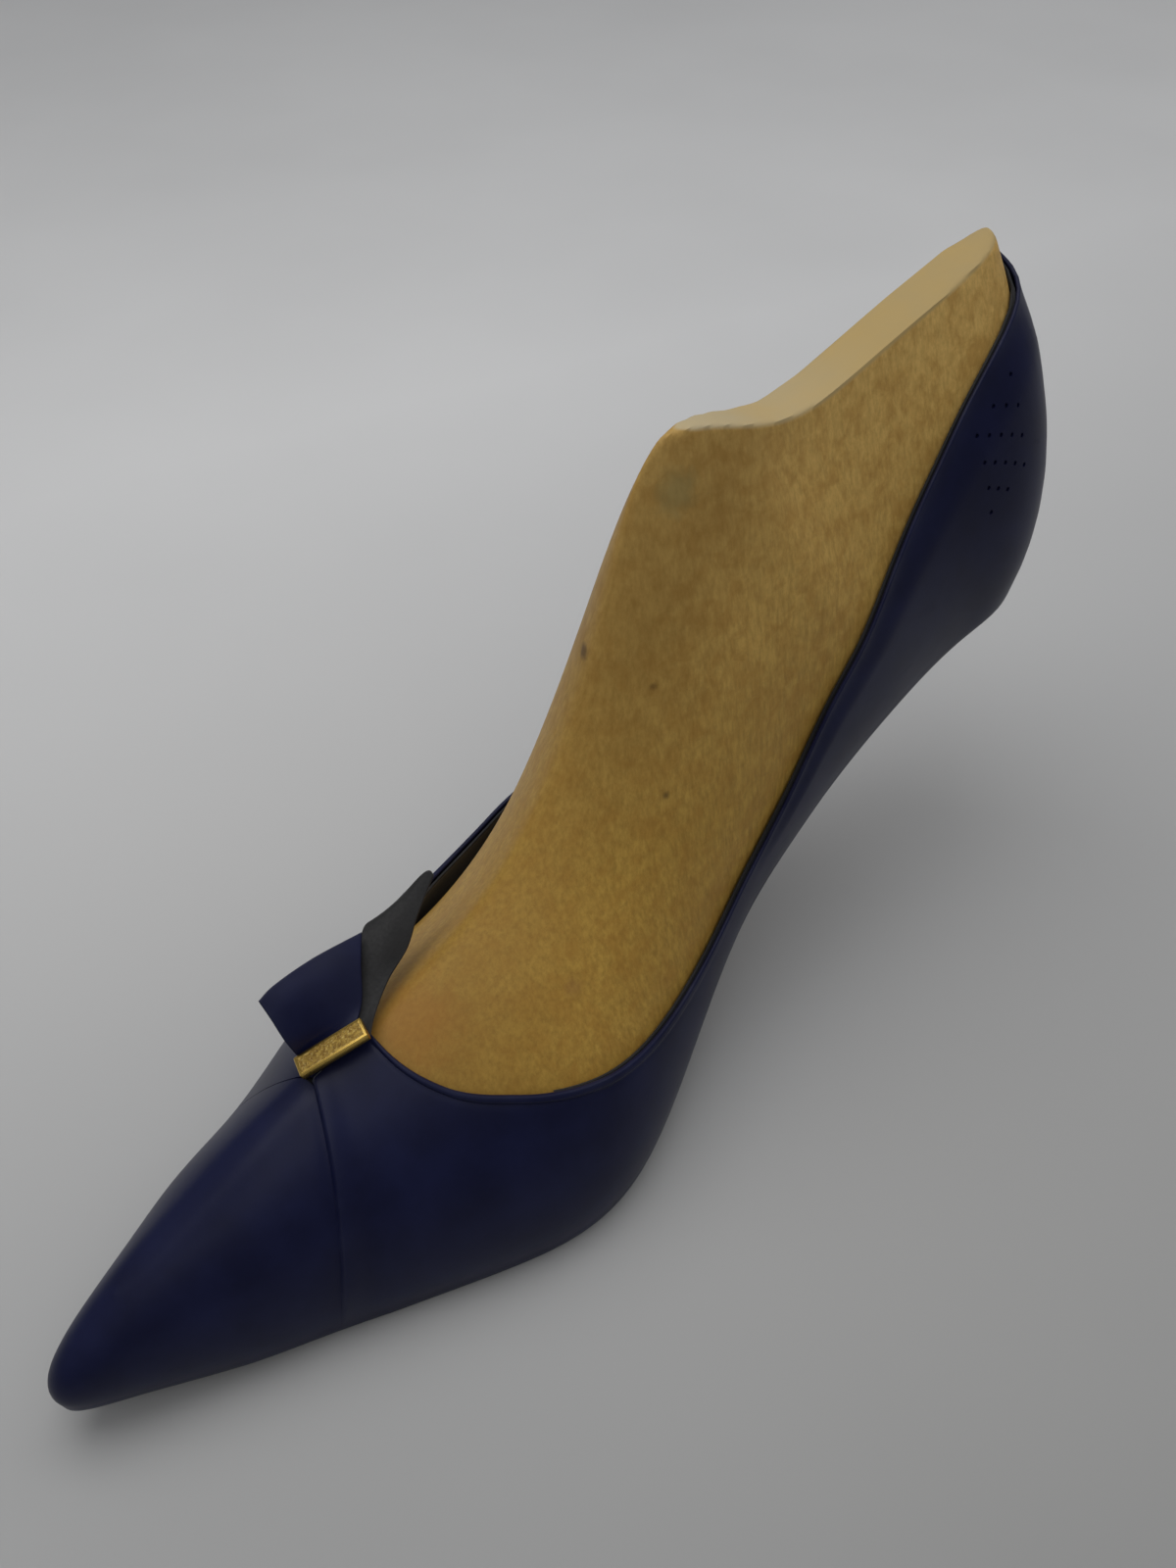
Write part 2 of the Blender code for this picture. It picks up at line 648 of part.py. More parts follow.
def build():
    clear_scene()
    colours = {
        "boxwood": surface_material("boxwood", (0.50, 0.33, 0.13), 0.45),
        "navy kid": surface_material("navy kid", (0.022, 0.026, 0.085), 0.38),
        "black lining": surface_material("black lining", (0.015, 0.015, 0.017), 0.6),
        "stiffener": surface_material("stiffener", (0.60, 0.55, 0.42), 0.9),
        "board": surface_material("board", (0.36, 0.24, 0.13), 0.8),
        "steel": surface_material("steel", (0.55, 0.56, 0.58), 0.35, 1.0),
        "tack": surface_material("tack", (0.25, 0.25, 0.27), 0.45, 1.0),
        "gilt": surface_material("gilt", (0.83, 0.62, 0.24), 0.28, 1.0),
    }
    body = last_body(colours["boxwood"])
    passed = upper_pieces(colours)
    metal_and_boards(body, passed, colours)
    ornament(colours)


build()
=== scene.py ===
# %% [markdown]
# # A shoemaker's last with the upper of a court shoe on it
#
# The object is a turned wooden last. Over it a shoemaker has pulled ("lasted") the
# upper of a pointed court shoe in navy kid, with a black lining, a small bow and a
# gilt bar. The CAD model under this scene already gives every piece its true place
# and size. This script gives them their looks: smooth surfaces in place of the
# CAD's facets, folded and rolled leather edges, and a material for every piece.
#
# All lengths in this script are millimetres in the last's own axes: X from toe to
# heel, Y from the inner to the outer side of the foot, Z up. They become metres in
# the part's frame when a mesh is made.

import math

import bmesh
import bpy
import numpy as np
from mathutils import Matrix, Vector


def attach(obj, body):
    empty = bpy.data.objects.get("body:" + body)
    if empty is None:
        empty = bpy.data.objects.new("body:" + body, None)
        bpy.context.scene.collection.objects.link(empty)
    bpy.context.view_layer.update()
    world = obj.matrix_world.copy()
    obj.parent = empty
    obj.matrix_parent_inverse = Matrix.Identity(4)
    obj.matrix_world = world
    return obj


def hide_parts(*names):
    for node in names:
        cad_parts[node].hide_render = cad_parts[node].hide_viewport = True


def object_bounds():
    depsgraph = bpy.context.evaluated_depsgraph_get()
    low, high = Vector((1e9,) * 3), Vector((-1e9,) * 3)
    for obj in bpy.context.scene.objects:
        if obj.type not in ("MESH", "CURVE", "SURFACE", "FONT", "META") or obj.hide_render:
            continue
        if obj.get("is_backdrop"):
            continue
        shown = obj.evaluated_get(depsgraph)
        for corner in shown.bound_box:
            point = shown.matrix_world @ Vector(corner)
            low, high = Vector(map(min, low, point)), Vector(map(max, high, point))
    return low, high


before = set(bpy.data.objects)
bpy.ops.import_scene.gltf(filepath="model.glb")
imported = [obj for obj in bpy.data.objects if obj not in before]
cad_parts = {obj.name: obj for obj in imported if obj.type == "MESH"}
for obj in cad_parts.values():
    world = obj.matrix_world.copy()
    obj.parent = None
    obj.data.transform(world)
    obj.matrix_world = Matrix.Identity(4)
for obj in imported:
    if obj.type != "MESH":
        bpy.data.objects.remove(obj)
cad_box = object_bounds()
print("CAD nodes:", len(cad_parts))

# %% Units and the step from the last's axes to the part's frame
MM = 0.001
CENTRE_X, CENTRE_Y, LIFT = 112.327, -0.108, 3.5
INNER, OUTER = -1, 1


def to_metres(points):
    """Points in the last's axes, in millimetres, as points of the part's frame in metres."""
    return (np.asarray(points, float) + (-CENTRE_X, -CENTRE_Y, LIFT)) * MM


def put_in_scene(name, data):
    """An object at the origin, unturned and unscaled, that carries the data."""
    made = bpy.data.objects.new(name, data)
    bpy.context.scene.collection.objects.link(made)
    return made


# %% [markdown]
# ## The camera
#
# The photograph looks down on the inner side of the shoe from in front of the toe.
# The camera's place comes from fitting the last's outline to the photograph: it is
# close, so the toe looks large and the heel small. Its axes are built from an
# azimuth, an elevation and a small roll, which says more than a rotation matrix.

# %% Camera
CAMERA_TARGET = Vector((1.93, 0.50, 66.42)) * MM
CAMERA_AZIMUTH, CAMERA_ELEVATION, CAMERA_ROLL = 43.49, 43.30, -1.14
CAMERA_DISTANCE = 265.18 * MM
LENS, SENSOR = 34.24, 36.0
NEAREST, FARTHEST = 0.01, 20.0


def camera_matrix():
    angles = (CAMERA_AZIMUTH, CAMERA_ELEVATION, CAMERA_ROLL)
    azimuth, elevation, roll = map(math.radians, angles)
    level = math.cos(elevation)
    back = Vector((-math.sin(azimuth) * level, -math.cos(azimuth) * level, math.sin(elevation)))
    right = Vector((math.cos(azimuth), -math.sin(azimuth), 0))
    up = back.cross(right)
    turned_right = right * math.cos(roll) + up * math.sin(roll)
    turned_up = up * math.cos(roll) - right * math.sin(roll)
    rotation = Matrix((turned_right, turned_up, back)).transposed().to_4x4()
    return Matrix.Translation(CAMERA_TARGET + back * CAMERA_DISTANCE) @ rotation


camera = put_in_scene("camera", bpy.data.cameras.new("camera"))
camera.data.lens, camera.data.sensor_width = LENS, SENSOR
camera.data.clip_start, camera.data.clip_end = NEAREST, FARTHEST
camera.matrix_world = camera_matrix()
bpy.context.scene.camera = camera
print("camera at", [round(x, 3) for x in camera.location])

# %% [markdown]
# ## Helpers for materials
#
# A procedural material is a small network of nodes. One helper adds a node, sets it
# and fills its inputs, so that each material below reads from top to bottom. What
# more than one material needs, such as a blot or a fine leather grain, is a node
# group with named inputs, built once.


# %% Node helpers
def fill(tree, socket, value):
    """Gives a socket its value, or links another node's output to it."""
    if isinstance(value, bpy.types.NodeSocket):
        tree.links.new(value, socket)
    else:
        socket.default_value = (*value, 1.0) if socket.type == "RGBA" else value


def put(tree, kind, inputs=None, **settings):
    """Adds a node with its settings and fills its inputs."""
    node = tree.nodes.new(kind)
    for key, value in settings.items():
        setattr(node, key, value)
    for key, value in (inputs or {}).items():
        fill(tree, node.inputs[key], value)
    return node


def feed(tree, inputs, **sources):
    """Fills inputs by name; underscores stand for spaces."""
    for key, value in sources.items():
        fill(tree, inputs[key.replace("_", " ")], value)


def math_node(tree, operation, *values, clamp=False):
    node = put(tree, "ShaderNodeMath", dict(enumerate(values)), operation=operation)
    node.use_clamp = clamp
    return node.outputs[0]


def times(tree, first, second):
    return math_node(tree, "MULTIPLY", first, second)


def plus(tree, first, second):
    return math_node(tree, "ADD", first, second)


def axis_of(tree, place, axis):
    return put(tree, "ShaderNodeSeparateXYZ", {0: place}).outputs[axis]


# %% Colours and masks
def mixed(tree, share, first, second):
    """A colour between two, by a share that changes over the surface."""
    made = put(tree, "ShaderNodeMix", data_type="RGBA")
    sockets = {socket.identifier: socket for socket in made.inputs}
    fill(tree, sockets["Factor_Float"], share)
    fill(tree, sockets["A_Color"], first)
    fill(tree, sockets["B_Color"], second)
    return next(socket for socket in made.outputs if socket.identifier == "Result_Color")


def layered(tree, colour, *layers):
    """Lays colours over a colour, each by its mask and the mask's strength."""
    for mask, strength, over in layers:
        colour = mixed(tree, times(tree, mask, strength), colour, over)
    return colour


def spread(tree, value, low, high, new_low=0.0, new_high=1.0):
    """Stretches the range low to high of a value over new_low to new_high."""
    inputs = {"Value": value, "From Min": low, "From Max": high}
    inputs |= {"To Min": new_low, "To Max": new_high}
    return put(tree, "ShaderNodeMapRange", inputs).outputs["Result"]


def noise(tree, place, scale, detail=4.0, roughness=0.5, distortion=0.0):
    inputs = {"Vector": place, "Scale": scale, "Detail": detail, "Roughness": roughness}
    return put(tree, "ShaderNodeTexNoise", {**inputs, "Distortion": distortion}).outputs["Fac"]


def patches(tree, place, scale, low, high, *character):
    """Soft-edged patches: 0 where a noise is under low, 1 where it is over high."""
    return spread(tree, noise(tree, place, scale, *character), low, high)


def stretched(tree, place, sizes, turn=(0.0, 0.0, 0.0)):
    """Coordinates turned and stretched by a Mapping node."""
    inputs = {"Vector": place, "Rotation": turn, "Scale": sizes}
    return put(tree, "ShaderNodeMapping", inputs).outputs[0]


def attribute(tree, name):
    return put(tree, "ShaderNodeAttribute", attribute_name=name).outputs["Fac"]


def bumped(tree, height, strength, distance):
    inputs = {"Height": height, "Strength": strength, "Distance": distance * MM}
    return put(tree, "ShaderNodeBump", inputs).outputs["Normal"]


# %% Groups and materials
def new_group(name, inputs, outputs):
    """An empty node group with float or vector sockets."""
    group = bpy.data.node_groups.new(name, "ShaderNodeTree")
    add = group.interface.new_socket
    for socket, value in inputs.items():
        kind = "NodeSocketVector" if isinstance(value, tuple) else "NodeSocketFloat"
        add(socket, in_out="INPUT", socket_type=kind).default_value = value
    for socket in outputs:
        add(socket, in_out="OUTPUT", socket_type="NodeSocketFloat")
    nodes = group.nodes
    return group, nodes.new("NodeGroupInput").outputs, nodes.new("NodeGroupOutput").inputs


def use_group(tree, group, **values):
    return put(tree, "ShaderNodeGroup", values, node_tree=group).outputs


def new_material(name, colour, roughness, metallic=0.0, specular=0.5):
    """A material, its node tree, its Principled shader's inputs and its Object coordinates."""
    made = bpy.data.materials.new(name)
    made.use_nodes = True
    tree = made.node_tree
    shader = tree.nodes["Principled BSDF"].inputs
    feed(tree, shader, Base_Color=colour, Roughness=roughness, Metallic=metallic)
    feed(tree, shader, Specular_IOR_Level=specular)
    place = put(tree, "ShaderNodeTexCoord").outputs["Object"]
    return made, tree, shader, place


# %% [markdown]
# ### Shared effects
#
# *Blot* is a soft round mark with a ragged edge: a stain in the varnish, a dent in
# the polish. *Kid grain* is the fine pebble of goatskin: rounded cells about a third
# of a millimetre across, broken up by a finer noise. *Handling* is what hands do to
# every finish: broad patches that are a little shinier, and a few fine scratches.

# %% Group: blot
ORIGIN = (0.0, 0.0, 0.0)
sizes = {"Place": ORIGIN, "Centre": ORIGIN, "Radius": 0.005, "Ragged": 0.5}
blot, given, result = new_group("Blot", sizes, ["Mask"])
ends = {0: given["Place"], 1: given["Centre"]}
away = put(blot, "ShaderNodeVectorMath", ends, operation="DISTANCE").outputs["Value"]
ragged = math_node(blot, "SUBTRACT", noise(blot, given["Place"], 420.0, 5.0, 0.6), 0.5)
ragged = times(blot, ragged, times(blot, given["Ragged"], 4.0))
reach = plus(blot, math_node(blot, "DIVIDE", away, given["Radius"]), ragged)
feed(blot, result, Mask=spread(blot, reach, 1.15, 0.35))

# %% Group: kid grain
sizes = {"Place": ORIGIN, "Cell": 0.0004}
kid_grain, given, result = new_group("Kid grain", sizes, ["Height", "Shade"])
place = given["Place"]
wander = {"Vector": place, "Scale": 900.0, "Detail": 2.0}
wander = put(kid_grain, "ShaderNodeTexNoise", wander).outputs["Color"]
wander = put(kid_grain, "ShaderNodeVectorMath", {0: wander, "Scale": 0.0005}, operation="SCALE")
ends = {0: place, 1: wander.outputs[0]}
warped = put(kid_grain, "ShaderNodeVectorMath", ends, operation="ADD").outputs[0]
cells = {"Vector": warped, "Scale": math_node(kid_grain, "DIVIDE", 1.0, given["Cell"])}
cells = put(kid_grain, "ShaderNodeTexVoronoi", cells, feature="SMOOTH_F1").outputs["Distance"]
domes = math_node(kid_grain, "SUBTRACT", 1.0, cells, clamp=True)
fine = noise(kid_grain, place, 5200.0, 3.0)
feed(kid_grain, result, Height=math_node(kid_grain, "MULTIPLY_ADD", domes, 0.75, fine))
feed(kid_grain, result, Shade=noise(kid_grain, place, 75.0, 5.0, 0.55))

# %% Group: handling
sizes = {"Place": ORIGIN, "Patches": 30.0, "Scratches": 0.3}
handling, given, result = new_group("Handling", sizes, ["Change"])
place = given["Place"]
shine = math_node(handling, "SUBTRACT", noise(handling, place, given["Patches"], 5.0, 0.6), 0.5)
scratch_place = stretched(handling, place, (60.0, 900.0, 500.0), (0.3, 0.2, 0.5))
scratches = patches(handling, scratch_place, 1.0, 0.66, 0.72, 2.0)
scratches = times(handling, scratches, given["Scratches"])
feed(handling, result, Change=plus(handling, shine, scratches))
print("node groups:", [group.name for group in bpy.data.node_groups])

# %% [markdown]
# ## Materials
#
# ### The last's wood
#
# Lasts are turned from a hard, even wood, here hornbeam or maple under a honey
# varnish. It shows long soft streaks along the grain, short darker flecks and a
# faint mottle, but no bold rings. Each is a noise, stretched along the grain and laid
# over the colour. Higher up towards the comb the colour is painted paler, a painted
# light from the lamp above. The upper front of the cone along the ridge is painted
# darker, a painted shade. The comb on top is cut after varnishing and left raw, so it
# is paler still and dull. The mesh carries an attribute "comb" that tells the material
# how far each point lies onto it.

# %% Wood
HONEY, AMBER, FLECK = (0.64, 0.395, 0.084), (0.47, 0.275, 0.050), (0.20, 0.105, 0.03)
UMBER, ORANGE, WOOD_PAINTED_TOP_LIGHT = (0.25, 0.135, 0.028), (0.40, 0.195, 0.035), (0.86, 0.57, 0.19)
RAW_WOOD, WEATHERED = (0.46, 0.345, 0.165), (0.56, 0.50, 0.36)
GRAIN_LEAN, FINE_LEAN = (0.0, 0.42, 0.0), (0.0, 0.12, 0.0)
wood, tree, shader, place = new_material("varnished hornbeam", HONEY, 0.5, specular=0.18)
along, up = axis_of(tree, place, "X"), axis_of(tree, place, "Z")
long_place = stretched(tree, place, (12.0, 60.0, 60.0), GRAIN_LEAN)
fleck_place = stretched(tree, place, (320.0, 1500.0, 1100.0), GRAIN_LEAN)
fine_place = stretched(tree, place, (1150.0, 1150.0, 230.0), FINE_LEAN)
streaks = patches(tree, long_place, 1.0, 0.3, 0.72, 5.0, 0.6, 0.6)
mottle = patches(tree, place, 55.0, 0.3, 0.75, 4.0, 0.6)
flecks = patches(tree, fleck_place, 1.0, 0.6, 0.75, 2.0)
fine_figure = patches(tree, fine_place, 1.0, 0.38, 0.66, 6.0, 0.68)
blotches = patches(tree, place, 260.0, 0.42, 0.64, 5.0, 0.62, 0.4)
print("wood colours:", HONEY, AMBER, FLECK)

# %% Wood: the varnished part
FIGURE = ((streaks, 0.6, AMBER), (mottle, 0.35, AMBER), (flecks, 0.16, FLECK))
figure = layered(tree, HONEY, *FIGURE)
# Painted light: the colour is painted paler higher up, towards the comb, where the lamp above falls.
figure = mixed(tree, spread(tree, up, 0.06, 0.135, 0.0, 0.85), figure, WOOD_PAINTED_TOP_LIGHT)
fineness = spread(tree, up, 0.05, 0.12, 0.55, 0.36)
figure = layered(tree, figure, (fine_figure, fineness, UMBER), (blotches, 0.45, ORANGE))
# Painted shade: the upper front of the cone, along the ridge and by the throat, is painted darker with
# umber.
painted_ridge_shade_slope = math_node(tree, "SUBTRACT", along, times(tree, up, 0.9))
figure = mixed(tree, spread(tree, painted_ridge_shade_slope, -0.080, -0.056, 0.46, 0.0), figure, UMBER)

# %% Wood: the raw comb, and the shader's other inputs
comb = spread(tree, attribute(tree, "comb"), 0.38, 0.47)
raw = mixed(tree, spread(tree, along, 0.02, 0.07, 0.6, 0.0), RAW_WOOD, WEATHERED)
wood_colour = mixed(tree, comb, figure, layered(tree, raw, (mottle, 0.35, HONEY)))
wear = use_group(tree, handling, Place=place, Patches=40.0, Scratches=0.25)["Change"]
dullness = plus(tree, spread(tree, comb, 0.0, 1.0, 0.50, 0.70), times(tree, wear, 0.25))
pores = plus(tree, times(tree, flecks, -0.6), noise(tree, fleck_place, 2.2, 3.0))
feed(tree, shader, Roughness=dullness, Normal=bumped(tree, pores, 0.25, 0.05))
wood_tree, wood_inputs, wood_place = tree, shader, place

# %% [markdown]
# ### Navy kid
#
# Kid is thin goatskin with a satin finish. Its colour is nearly black until light
# grazes it, and then it turns blue. A very dark base colour gives that, with a thin
# coat for the dressing and a fine grain. Folded edges rub paler and greyer, so the
# mesh carries an attribute "edge", 1 on an edge and 0 away from it.

# %% Navy kid
NAVY, NAVY_LIGHT = (0.0052, 0.0068, 0.032), (0.0090, 0.0118, 0.050)
RUBBED = (0.028, 0.032, 0.066)
kid, tree, shader, place = new_material("navy kid", NAVY, 0.42, specular=0.18)
grain = use_group(tree, kid_grain, Place=place, Cell=0.00042)
tone = mixed(tree, spread(tree, grain["Shade"], 0.35, 0.7), NAVY, NAVY_LIGHT)
rubbed = times(tree, attribute(tree, "edge"), patches(tree, place, 160.0, 0.35, 0.75))
wear = use_group(tree, handling, Place=place, Patches=55.0, Scratches=0.2)["Change"]
feed(tree, shader, Base_Color=layered(tree, tone, (rubbed, 0.5, RUBBED)))
feed(tree, shader, Roughness=math_node(tree, "MULTIPLY_ADD", wear, 0.16, 0.40))
feed(tree, shader, Coat_Weight=0.03, Coat_Roughness=0.28)
feed(tree, shader, Normal=bumped(tree, grain["Height"], 0.22, 0.04))
print("kid:", len(tree.nodes), "nodes")

# %% [markdown]
# ### Black lining, stiffener canvas and insole board
#
# The lining is matt black skin with its soft side out. The stiffeners are canvas
# soaked in paste: a plain weave, which two crossed waves give. The insole is pressed
# fibre board: brown, with short darker fibres and pale specks.

# %% Lining
BLACK, WORN_BLACK = (0.006, 0.006, 0.007), (0.018, 0.017, 0.017)
lining_skin, tree, shader, place = new_material("black lining skin", BLACK, 0.62, specular=0.35)
nap = noise(tree, place, 1800.0, 4.0, 0.65)
worn = patches(tree, place, 90.0, 0.35, 0.75, 5.0, 0.6)
feed(tree, shader, Base_Color=mixed(tree, worn, BLACK, WORN_BLACK), Sheen_Weight=0.15)
feed(tree, shader, Roughness=spread(tree, nap, 0.3, 0.7, 0.52, 0.72))
feed(tree, shader, Normal=bumped(tree, nap, 0.35, 0.05))

# %% Stiffener canvas
CANVAS, CANVAS_DARK = (0.52, 0.46, 0.33), (0.30, 0.25, 0.16)
canvas, tree, shader, place = new_material("pasted canvas", CANVAS, 0.9)
threads = []
for direction in ("X", "Z"):
    bands = {"wave_type": "BANDS", "bands_direction": direction}
    wave = put(tree, "ShaderNodeTexWave", {"Vector": place, "Scale": 700.0}, **bands)
    threads.append(wave.outputs["Fac"])
weave = times(tree, *threads)
feed(tree, shader, Base_Color=mixed(tree, weave, CANVAS_DARK, CANVAS))
feed(tree, shader, Normal=bumped(tree, weave, 0.6, 0.1))

# %% Insole board
BOARD, BOARD_DARK, BOARD_PALE = (0.34, 0.215, 0.11), (0.20, 0.12, 0.055), (0.50, 0.37, 0.22)
board, tree, shader, place = new_material("fibre board", BOARD, 0.8)
fibre_place = stretched(tree, place, (260.0, 900.0, 900.0), (0.0, 0.0, 0.6))
fibres = patches(tree, fibre_place, 1.0, 0.45, 0.7, 4.0, 0.6)
specks = patches(tree, place, 1500.0, 0.64, 0.72, 2.0)
tone = layered(tree, BOARD, (fibres, 0.7, BOARD_DARK), (specks, 0.6, BOARD_PALE))
feed(tree, shader, Base_Color=tone, Roughness=spread(tree, fibres, 0.0, 1.0, 0.72, 0.9))
feed(tree, shader, Normal=bumped(tree, fibres, 0.3, 0.08))

# %% [markdown]
# ### Metals
#
# The shank and heel plate are rolled steel: grey, with fine lines along the strip and
# a few spots of rust. The tacks are blued iron. The bar over the throat is gilt: its
# face is worn to a mottle of bright gold and brown, while its bevels stay bright. The
# bar's mesh carries the attribute "face" to tell the two apart.

# %% Steel
STEEL, RUST = (0.42, 0.42, 0.43), (0.20, 0.085, 0.035)
steel, tree, shader, place = new_material("rolled steel", STEEL, 0.34, metallic=1.0)
lines = noise(tree, stretched(tree, place, (40.0, 4200.0, 4200.0)), 1.0, 3.0)
rust = patches(tree, place, 240.0, 0.6, 0.72, 6.0, 0.65)
dullness = plus(tree, spread(tree, lines, 0.3, 0.7, 0.26, 0.44), times(tree, rust, 0.4))
feed(tree, shader, Base_Color=mixed(tree, rust, STEEL, RUST), Roughness=dullness)
feed(tree, shader, Metallic=spread(tree, rust, 0.0, 1.0, 1.0, 0.1))
feed(tree, shader, Normal=bumped(tree, lines, 0.2, 0.02))

# %% Blued iron
BLUED, BARE_IRON = (0.075, 0.08, 0.095), (0.34, 0.33, 0.32)
iron, tree, shader, place = new_material("blued iron", BLUED, 0.4, metallic=1.0)
bare = patches(tree, place, 900.0, 0.5, 0.7, 5.0, 0.6)
feed(tree, shader, Base_Color=mixed(tree, bare, BLUED, BARE_IRON))
feed(tree, shader, Roughness=spread(tree, bare, 0.0, 1.0, 0.45, 0.3))

# %% Gilt
GOLD, GOLD_BROWN, GOLD_PALE = (0.56, 0.375, 0.092), (0.20, 0.105, 0.03), (0.84, 0.66, 0.27)
gilt, tree, shader, place = new_material("worn gilt", GOLD, 0.25, metallic=1.0)
face = attribute(tree, "face")
tarnish = times(tree, patches(tree, place, 1500.0, 0.36, 0.62, 5.0, 0.7), face)
pits = patches(tree, place, 2600.0, 0.55, 0.7, 3.0)
dents = times(tree, noise(tree, place, 1900.0, 4.0, 0.6), face)
layers = (tarnish, 0.85, GOLD_BROWN), (pits, times(tree, face, 0.5), GOLD_PALE)
feed(tree, shader, Base_Color=layered(tree, GOLD, *layers))
feed(tree, shader, Roughness=spread(tree, face, 0.0, 1.0, 0.24, 0.42))
feed(tree, shader, Normal=bumped(tree, dents, 0.5, 0.12))
print("materials:", sorted(m.name for m in bpy.data.materials))

# %% [markdown]
# ## The last's surface, as a formula
#
# Every piece of leather follows the wood, so one formula carries them all, the same
# one as in the CAD. A *station* t runs round the edge of the bottom, the feather
# edge, from the toe (0) to the heel back (1), positive on the outer side. A *height*
# v runs up the wall from the feather edge (0) to the ridge or comb (1). Each wall is
# a cubic curve from foot to top, and every size below is a smooth closed curve
# through thirteen stations. Here the formula works on whole arrays at once, so that
# the surface can be read as finely as a render needs.

# %% Sizes of the last at its stations
STATION = (0, 0.04, 0.12, 0.24, 0.36, 0.46, 0.56, 0.66, 0.74, 0.82, 0.90, 0.96, 1)
FEATHER_X = (-4.8, 2.4, 18, 46, 72, 92, 117, 140, 160, 181, 203, 219, 226)
FEATHER_Z = (7.5, 6, 3, 0, 0, 2, 9, 24, 39, 51, 59.5, 64, 65)
INNER_WIDTH = (0, 3.8, 10.2, 21.4, 31.5, 32.5, 23, 15.5, 14, 14.5, 16, 14, 0)
OUTER_WIDTH = (0, 3.2, 10.8, 21, 31.5, 33.5, 31.5, 27.5, 24, 22, 21, 15, 0)
INNER_BULGE = (2.3, 2.7, 3, 4.5, 5, 5, 7.5, 10, 10, 7, 5, 8, 11.5)
OUTER_BULGE = (2.3, 2.7, 3, 4, 4.5, 1.5, 2.2, 4.5, 4.5, 5, 4.5, 6.5, 11.5)
RIDGE_X = (9, 11, 23.5, 46.5, 67, 87, 104.5, 118, 130.5, 154.5, 184.5, 212.5, 215)
RIDGE_Z = (20.4, 21.6, 26.6, 36, 43, 52.5, 69.5, 100, 125.5, 121.3, 125.2, 132, 133.4)
INNER_CROWN = (5.5, 4.6, 7.1, 11.5, 16, 16.5, 13, 10.5, 6.5, 6, 5.5, 7, 6.5)
OUTER_CROWN = (5.5, 4.6, 6.1, 8.5, 9.5, 5.5, 9.5, 10.5, 6.5, 6, 5.5, 7, 6.5)
INNER_DROP = (3.4, 2.5, 1, 1, 1, 1, 4, 7, 15, 22, 21.5, 18.5, 18.5)
OUTER_DROP = (3.4, 2.5, 1.5, 2.5, 3.5, 4.5, 5, 7, 15, 22, 21.5, 18.5, 18.5)
WALL_RISE = 0.355
INNER_COMB, OUTER_COMB = 5.2, 3.3
COMB_FRONT, INNER_COMB_FULL, OUTER_COMB_FULL, COMB_ROUND = 0.725, 0.80, 0.88, 0.92
TOE_TURN, HEEL_TURN = 0.12, 0.10
RIDGE_NEAR = 0.99
SPINE_FRONT, SPINE_REAR = 0.07, 0.93
NUDGE = 1e-3


# %% Smooth curves through the sizes
def closed_slopes(knots, values):
    """The slopes of the smooth closed curve through values at knots."""
    step = np.diff(knots)
    count = len(step)
    matrix, right = np.zeros((count, count)), np.zeros(count)
    for i in range(count):
        before, after = step[i - 1], step[i]
        last = values[i - 1] if i else values[-2]
        matrix[i, (i - 1) % count] += 1 / before
        matrix[i, i] += 2 / before + 2 / after
        matrix[i, (i + 1) % count] += 1 / after
        right[i] = 3 * ((values[i] - last) / before**2 + (values[i + 1] - values[i]) / after**2)
    slopes = np.linalg.solve(matrix, right)
    return np.append(slopes, slopes[0])


def read_curve(knots, values, slopes, t):
    """The cubic through knots, values and slopes, read at every t."""
    i = np.clip(np.searchsorted(knots, t, side="right") - 1, 0, len(knots) - 2)
    step = knots[i + 1] - knots[i]
    u = (t - knots[i]) / step
    low = (1 + 2 * u) * (1 - u) ** 2 * values[i] + u * (1 - u) ** 2 * step * slopes[i]
    high = u * u * (3 - 2 * u) * values[i + 1] - u * u * (1 - u) * step * slopes[i + 1]
    return low + high


def around(t):
    """Stations run on past the heel back into the other side."""
    return (np.asarray(t, float) + 1) % 2 - 1


def round_curve(inner, outer):
    """A size that changes smoothly right round the last, as a function of the station."""
    knots = np.array([-s for s in STATION[:0:-1]] + list(STATION), float)
    values = np.array(list(inner[:0:-1]) + list(outer), float)
    slopes = closed_slopes(knots, values)
    return lambda t: read_curve(knots, values, slopes, around(t))


feather_x, feather_z = round_curve(FEATHER_X, FEATHER_X), round_curve(FEATHER_Z, FEATHER_Z)
feather_y = round_curve([-width for width in INNER_WIDTH], OUTER_WIDTH)
bulge, crown = round_curve(INNER_BULGE, OUTER_BULGE), round_curve(INNER_CROWN, OUTER_CROWN)
ridge_x, ridge_z = round_curve(RIDGE_X, RIDGE_X), round_curve(RIDGE_Z, RIDGE_Z)
ridge_drop = round_curve(INNER_DROP, OUTER_DROP)


# %% Walls and bottom
def ease(x, start, end):
    """0 before start, 1 after end, smooth between."""
    s = np.clip((x - start) / (end - start), 0.0, 1.0)
    return s * s * (3 - 2 * s)


def stacked(x, y, z):
    return np.stack(np.broadcast_arrays(x, y, z), axis=-1)


def unit(vectors):
    return vectors / np.linalg.norm(vectors, axis=-1, keepdims=True)


def feather(t):
    return stacked(feather_x(t), feather_y(t), np.maximum(feather_z(t), 0.0))


def ridge(t):
    t = around(t)
    along = np.abs(t)
    round_end = np.sin(math.pi / 2 * np.minimum((1 - along) / (1 - COMB_ROUND), 1))
    widest = np.where(t > 0, OUTER_COMB, INNER_COMB)
    full = np.where(t > 0, OUTER_COMB_FULL, INNER_COMB_FULL)
    half = widest * ease(along, COMB_FRONT, full) * round_end
    return stacked(ridge_x(t), np.copysign(half, t), ridge_z(t))


